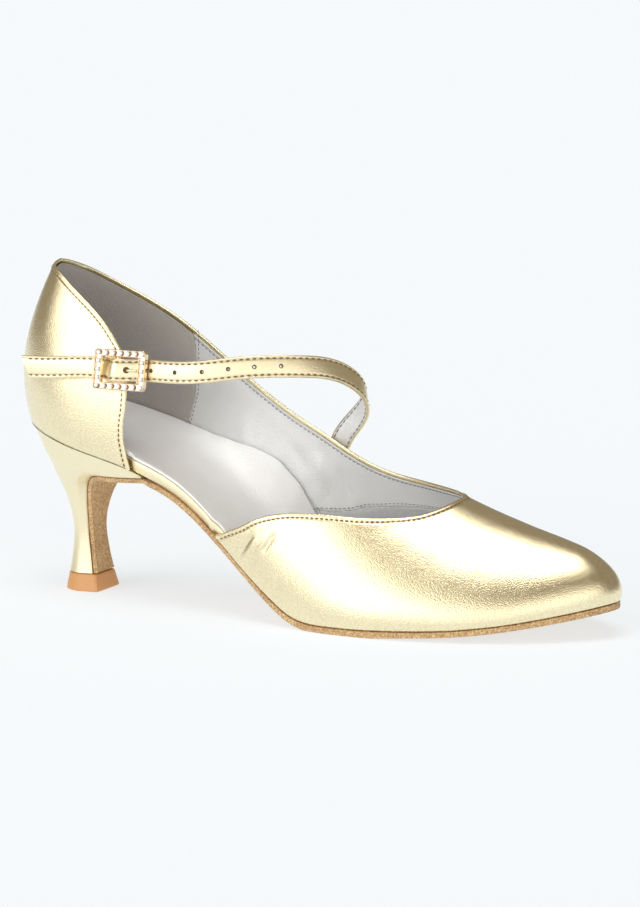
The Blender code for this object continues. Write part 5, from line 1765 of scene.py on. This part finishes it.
def buildBuckleFrame():
    # rims round a channel that holds the crystals
    halfLong, halfTall = buckle["long"] / 2, buckle["tall"] / 2
    wideLong = halfLong - buckle["windowLong"] / 2
    wideTall = halfTall - buckle["windowTall"] / 2
    low, high = -buckle["deep"] / 2, buckle["deep"] / 2
    base = high - buckle["channelDeep"]
    share = buckle["channelWide"] / 2 / min(wideLong, wideTall)
    soft = 0.055
    left, right = 0.5 - share, 0.5 + share
    # share across the frame and depth: outer side, outer rim, channel, inner rim, inner side
    section = (
        (soft, low), (0.0, low + 0.15), (0.0, high - 0.28), (soft * 0.4, high - 0.1),
        (left * 0.5, high), (left - soft * 0.3, high - 0.1), (left, high - 0.3), (left, base),
        (0.5, base - 0.05), (right, base), (right, high - 0.3), (right + soft * 0.3, high - 0.1),
        ((1 + right) * 0.5, high), (1.0 - soft * 0.4, high - 0.1), (1.0, high - 0.28),
        (1.0, low + 0.15), (1.0 - soft, low))
    rings = []
    for part, deep in section:
        radius = buckle["rimRadius"] + (buckle["windowRadius"] - buckle["rimRadius"]) * part
        rings.append(roundedRing(halfLong - wideLong * part, halfTall - wideTall * part,
                                 radius, deep))
    # the last ring joins the first
    count = len(rings[0])
    total = count * len(rings)
    faces = [tuple(i % total for i in face) for face in ringFaces(len(rings) + 1, count)]
    return makePiece("buckle_rims", np.concatenate(rings), faces, [roseMetal], turnOut=True,
                     smoothAngle=38.0)


def rodRings(route, radius, sides=16):
    # rings round a rod along a route, each end drawn in to a dome
    line = np.array(route, float)
    angles = np.arange(sides) * 2 * math.pi / sides
    dome = (0.35, 0.8)
    rings = []
    for k, (point, ahead) in enumerate(zip(line, tangents(line))):
        u = unit(np.cross(ahead, buckleUp if abs(float(ahead @ buckleUp)) < 0.9 else buckleOut))
        v = np.cross(ahead, u)
        # size of each ring at this point, and its push along the rod
        steps = [(1.0, 0.0)]
        if k == 0:
            steps = [(size, size - 1.0) for size in dome]
        elif k == len(line) - 1:
            steps = [(size, 1.0 - size) for size in reversed(dome)]
        for size, push in steps:
            rings.append(np.array([point + ahead * push * radius + radius * size
                                   * (u * math.cos(a) + v * math.sin(a)) for a in angles]))
    return rings


def buildBar():
    reach = buckle["windowTall"] / 2 + 1.2
    route = [bucklePlace(buckle["barAt"], t, buckle["barDeep"])
             for t in np.linspace(-reach, reach, 9)]
    return sweep("buckle_centre_bar", rodRings(route, buckle["barDiameter"] / 2), [roseMetal])


def buildProng():
    table = np.array(buckle["prong"]) * [buckle["windowLong"] / 2, buckle["deep"] / 2]
    t = np.arange(len(table), dtype=float)
    forward, outward = spline(t, table[:, 0]), spline(t, table[:, 1])
    route = [bucklePlace(float(forward(k)), 0.0, float(outward(k)))
             for k in np.linspace(0, t[-1], 33)]
    return sweep("buckle_tongue", rodRings(route, buckle["prongDiameter"] / 2), [prongMetal])


def buildCrystals():
    halfLong = (buckle["long"] + buckle["windowLong"]) / 4
    halfTall = (buckle["tall"] + buckle["windowTall"]) / 4
    spots = []
    for k in range(buckle["crystalsLong"]):
        long = -halfLong + 2 * halfLong * k / (buckle["crystalsLong"] - 1)
        spots += [(long, halfTall), (long, -halfTall)]
    for k in range(1, buckle["crystalsTall"] - 1):
        tall = -halfTall + 2 * halfTall * k / (buckle["crystalsTall"] - 1)
        spots += [(halfLong, tall), (-halfLong, tall)]
    base = buckle["deep"] / 2 - buckle["channelDeep"] + shoe["gap"] / 2
    model = roundModel("crystal_cut", buckle["crystalCut"], 10, crystalStone)
    return copiesAt("buckle_crystals", model, [bucklePlace(l, t, base) for l, t in spots],
                    [buckleOut] * len(spots), [buckle["crystalDiameter"] * mm] * len(spots),
                    crystalStone)


tab = {
    "thick": 0.6,
    "half": 3.0,
    # from its sewn end to the bar: back from the bar, inward from the buckle's middle plane
    "route": ((8.5, 4.0), (5.0, 3.9), (2.6, 3.1)),
    # degrees that it wraps round the bar
    "wrap": 205.0,
    # section with softened edges: across in half widths, out in thicknesses
    "section": ((-0.93, -0.5), (0.0, -0.5), (0.93, -0.5), (1.0, -0.25), (1.0, 0.25), (0.93, 0.5),
                (0.0, 0.5), (-0.93, 0.5), (-1.0, 0.25), (-1.0, -0.25)),
}


def buildTab():
    # leather loop that holds the centre bar to the quarter
    radius = buckle["barDiameter"] / 2 + shoe["gap"] + tab["thick"] / 2
    route = [(buckle["barAt"] - back, -inward) for back, inward in tab["route"]]
    for angle in np.linspace(0.0, math.radians(tab["wrap"]), 9):
        route.append((buckle["barAt"] + radius * math.sin(angle),
                      buckle["barDeep"] - radius * math.cos(angle)))
    table = np.array(route)
    length = np.concatenate([[0.0], np.cumsum(np.hypot(*np.diff(table, axis=0).T))])
    forward, outward = [spline(length, table[:, k]) for k in range(2)]
    line = np.array([bucklePlace(float(forward(s)), 0.0, float(outward(s)))
                     for s in np.linspace(0.0, length[-1], 60)])
    rings = []
    for point, ahead in zip(line, tangents(line)):
        out = np.cross(buckleUp, ahead)
        rings.append(np.array([point + buckleUp * w * tab["half"] + out * n * tab["thick"]
                               for w, n in tab["section"]]))
    return sweep("buckle_loop", rings, [goldTab], smoothAngle=60.0)


crystalNodes = [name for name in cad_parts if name.startswith("crystal_")]
for piece, replaced, slotName in (
        (buildBuckleFrame(), ["buckle_frame"], "buckle_metal"),
        (buildBar(), ["buckle_frame"], "buckle_metal"),
        (buildProng(), ["buckle_prong"], "prong_metal"),
        (buildTab(), ["buckle_tab"], "tab_leather"),
        (buildCrystals(), crystalNodes, "crystal")):
    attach(piece, "root")
    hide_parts(*replaced)
print("buckle made")

# floor and light
studio = {
    "floor": (0.915, 0.96, 1.0),
    "floorDiffuse": 0.42,
    "floorGlow": 0.67,
    "room": (0.30, 0.262, 0.205),
    # a low white screen in front: turn, half turn, soft edge, height, soft edge, strength
    "screen": (12.0, 62.0, 12.0, 29.0, 5.0, 1.1),
    # soft boxes: degrees round from the front and up, half angle, soft edge, strength
    "boxes": (
        (14.0, 79.0, 17.0, 5.0, 3.4),
        (-29.0, 29.0, 23.0, 6.0, 1.35)),
    "halfFloor": 30.0,
}


def skyPatch(tree, value, low, high, strength):
    # light that rises softly from nothing to its strength as the value goes from low to high
    patch = tree.nodes.new("ShaderNodeMapRange")
    patch.interpolation_type = "SMOOTHSTEP"
    tree.links.new(value, patch.inputs["Value"])
    patch.inputs["From Min"].default_value = low
    patch.inputs["From Max"].default_value = high
    patch.inputs["To Max"].default_value = strength
    return patch.outputs["Result"]


def towards(tree, where, turn, rise):
    # cosine of the angle between the sky's direction and a given one
    t, r = math.radians(turn), math.radians(rise)
    dot = tree.nodes.new("ShaderNodeVectorMath")
    dot.operation = "DOT_PRODUCT"
    tree.links.new(where, dot.inputs[0])
    dot.inputs[1].default_value = (
        math.sin(t) * math.cos(r), -math.cos(t) * math.cos(r), math.sin(r))
    return dot.outputs["Value"]


def makeSky():
    # dim warm room with a low screen and round soft boxes, all with soft edges
    world = bpy.data.worlds.new("studio")
    bpy.context.scene.world = world
    world.use_nodes = True
    tree = world.node_tree
    background = tree.nodes["Background"]
    where = tree.nodes.new("ShaderNodeTexCoord").outputs["Generated"]

    def cosine(angle):
        return math.cos(math.radians(angle))

    turn, half, soft, height, softTop, strength = studio["screen"]
    parts = tree.nodes.new("ShaderNodeSeparateXYZ")
    tree.links.new(where, parts.inputs[0])
    inFront = skyPatch(tree, towards(tree, where, turn, 0.0), cosine(half + soft),
                       cosine(half - soft), 1.0)
    low = skyPatch(tree, parts.outputs["Z"], cosine(90.0 - height - softTop),
                   cosine(90.0 - height + softTop), strength)
    light = math2(tree, "MULTIPLY", inFront, low)
    for turn, rise, half, soft, strength in studio["boxes"]:
        box = skyPatch(tree, towards(tree, where, turn, rise), cosine(half + soft),
                       cosine(half - soft), strength)
        light = math2(tree, "ADD", light, box)
    total = tree.nodes.new("ShaderNodeVectorMath")
    total.operation = "ADD"
    total.inputs[0].default_value = studio["room"]
    tree.links.new(light, total.inputs[1])
    tree.links.new(total.outputs["Vector"], background.inputs["Color"])
    background.inputs["Strength"].default_value = 1.0


def makeFloor():
    # a light table: part of its brightness comes from below, which keeps the shadows faint
    half = studio["halfFloor"]
    mesh = bpy.data.meshes.new("floor")
    mesh.from_pydata([(-half, -half, 0), (half, -half, 0), (half, half, 0), (-half, half, 0)],
                     [], [(0, 1, 2, 3)])
    colour = [c * studio["floorDiffuse"] for c in studio["floor"]]
    mat, _, shader = newMaterial("studioFloor", colour, 0.9)
    shader.inputs["Emission Color"].default_value = (*studio["floor"], 1.0)
    shader.inputs["Emission Strength"].default_value = studio["floorGlow"]
    shader.inputs["Specular IOR Level"].default_value = 0.0
    mesh.materials.append(mat)
    floor = bpy.data.objects.new("floor", mesh)
    bpy.context.scene.collection.objects.link(floor)


makeSky()
makeFloor()
bpy.context.scene.view_settings.view_transform = "Standard"
print("studio made")
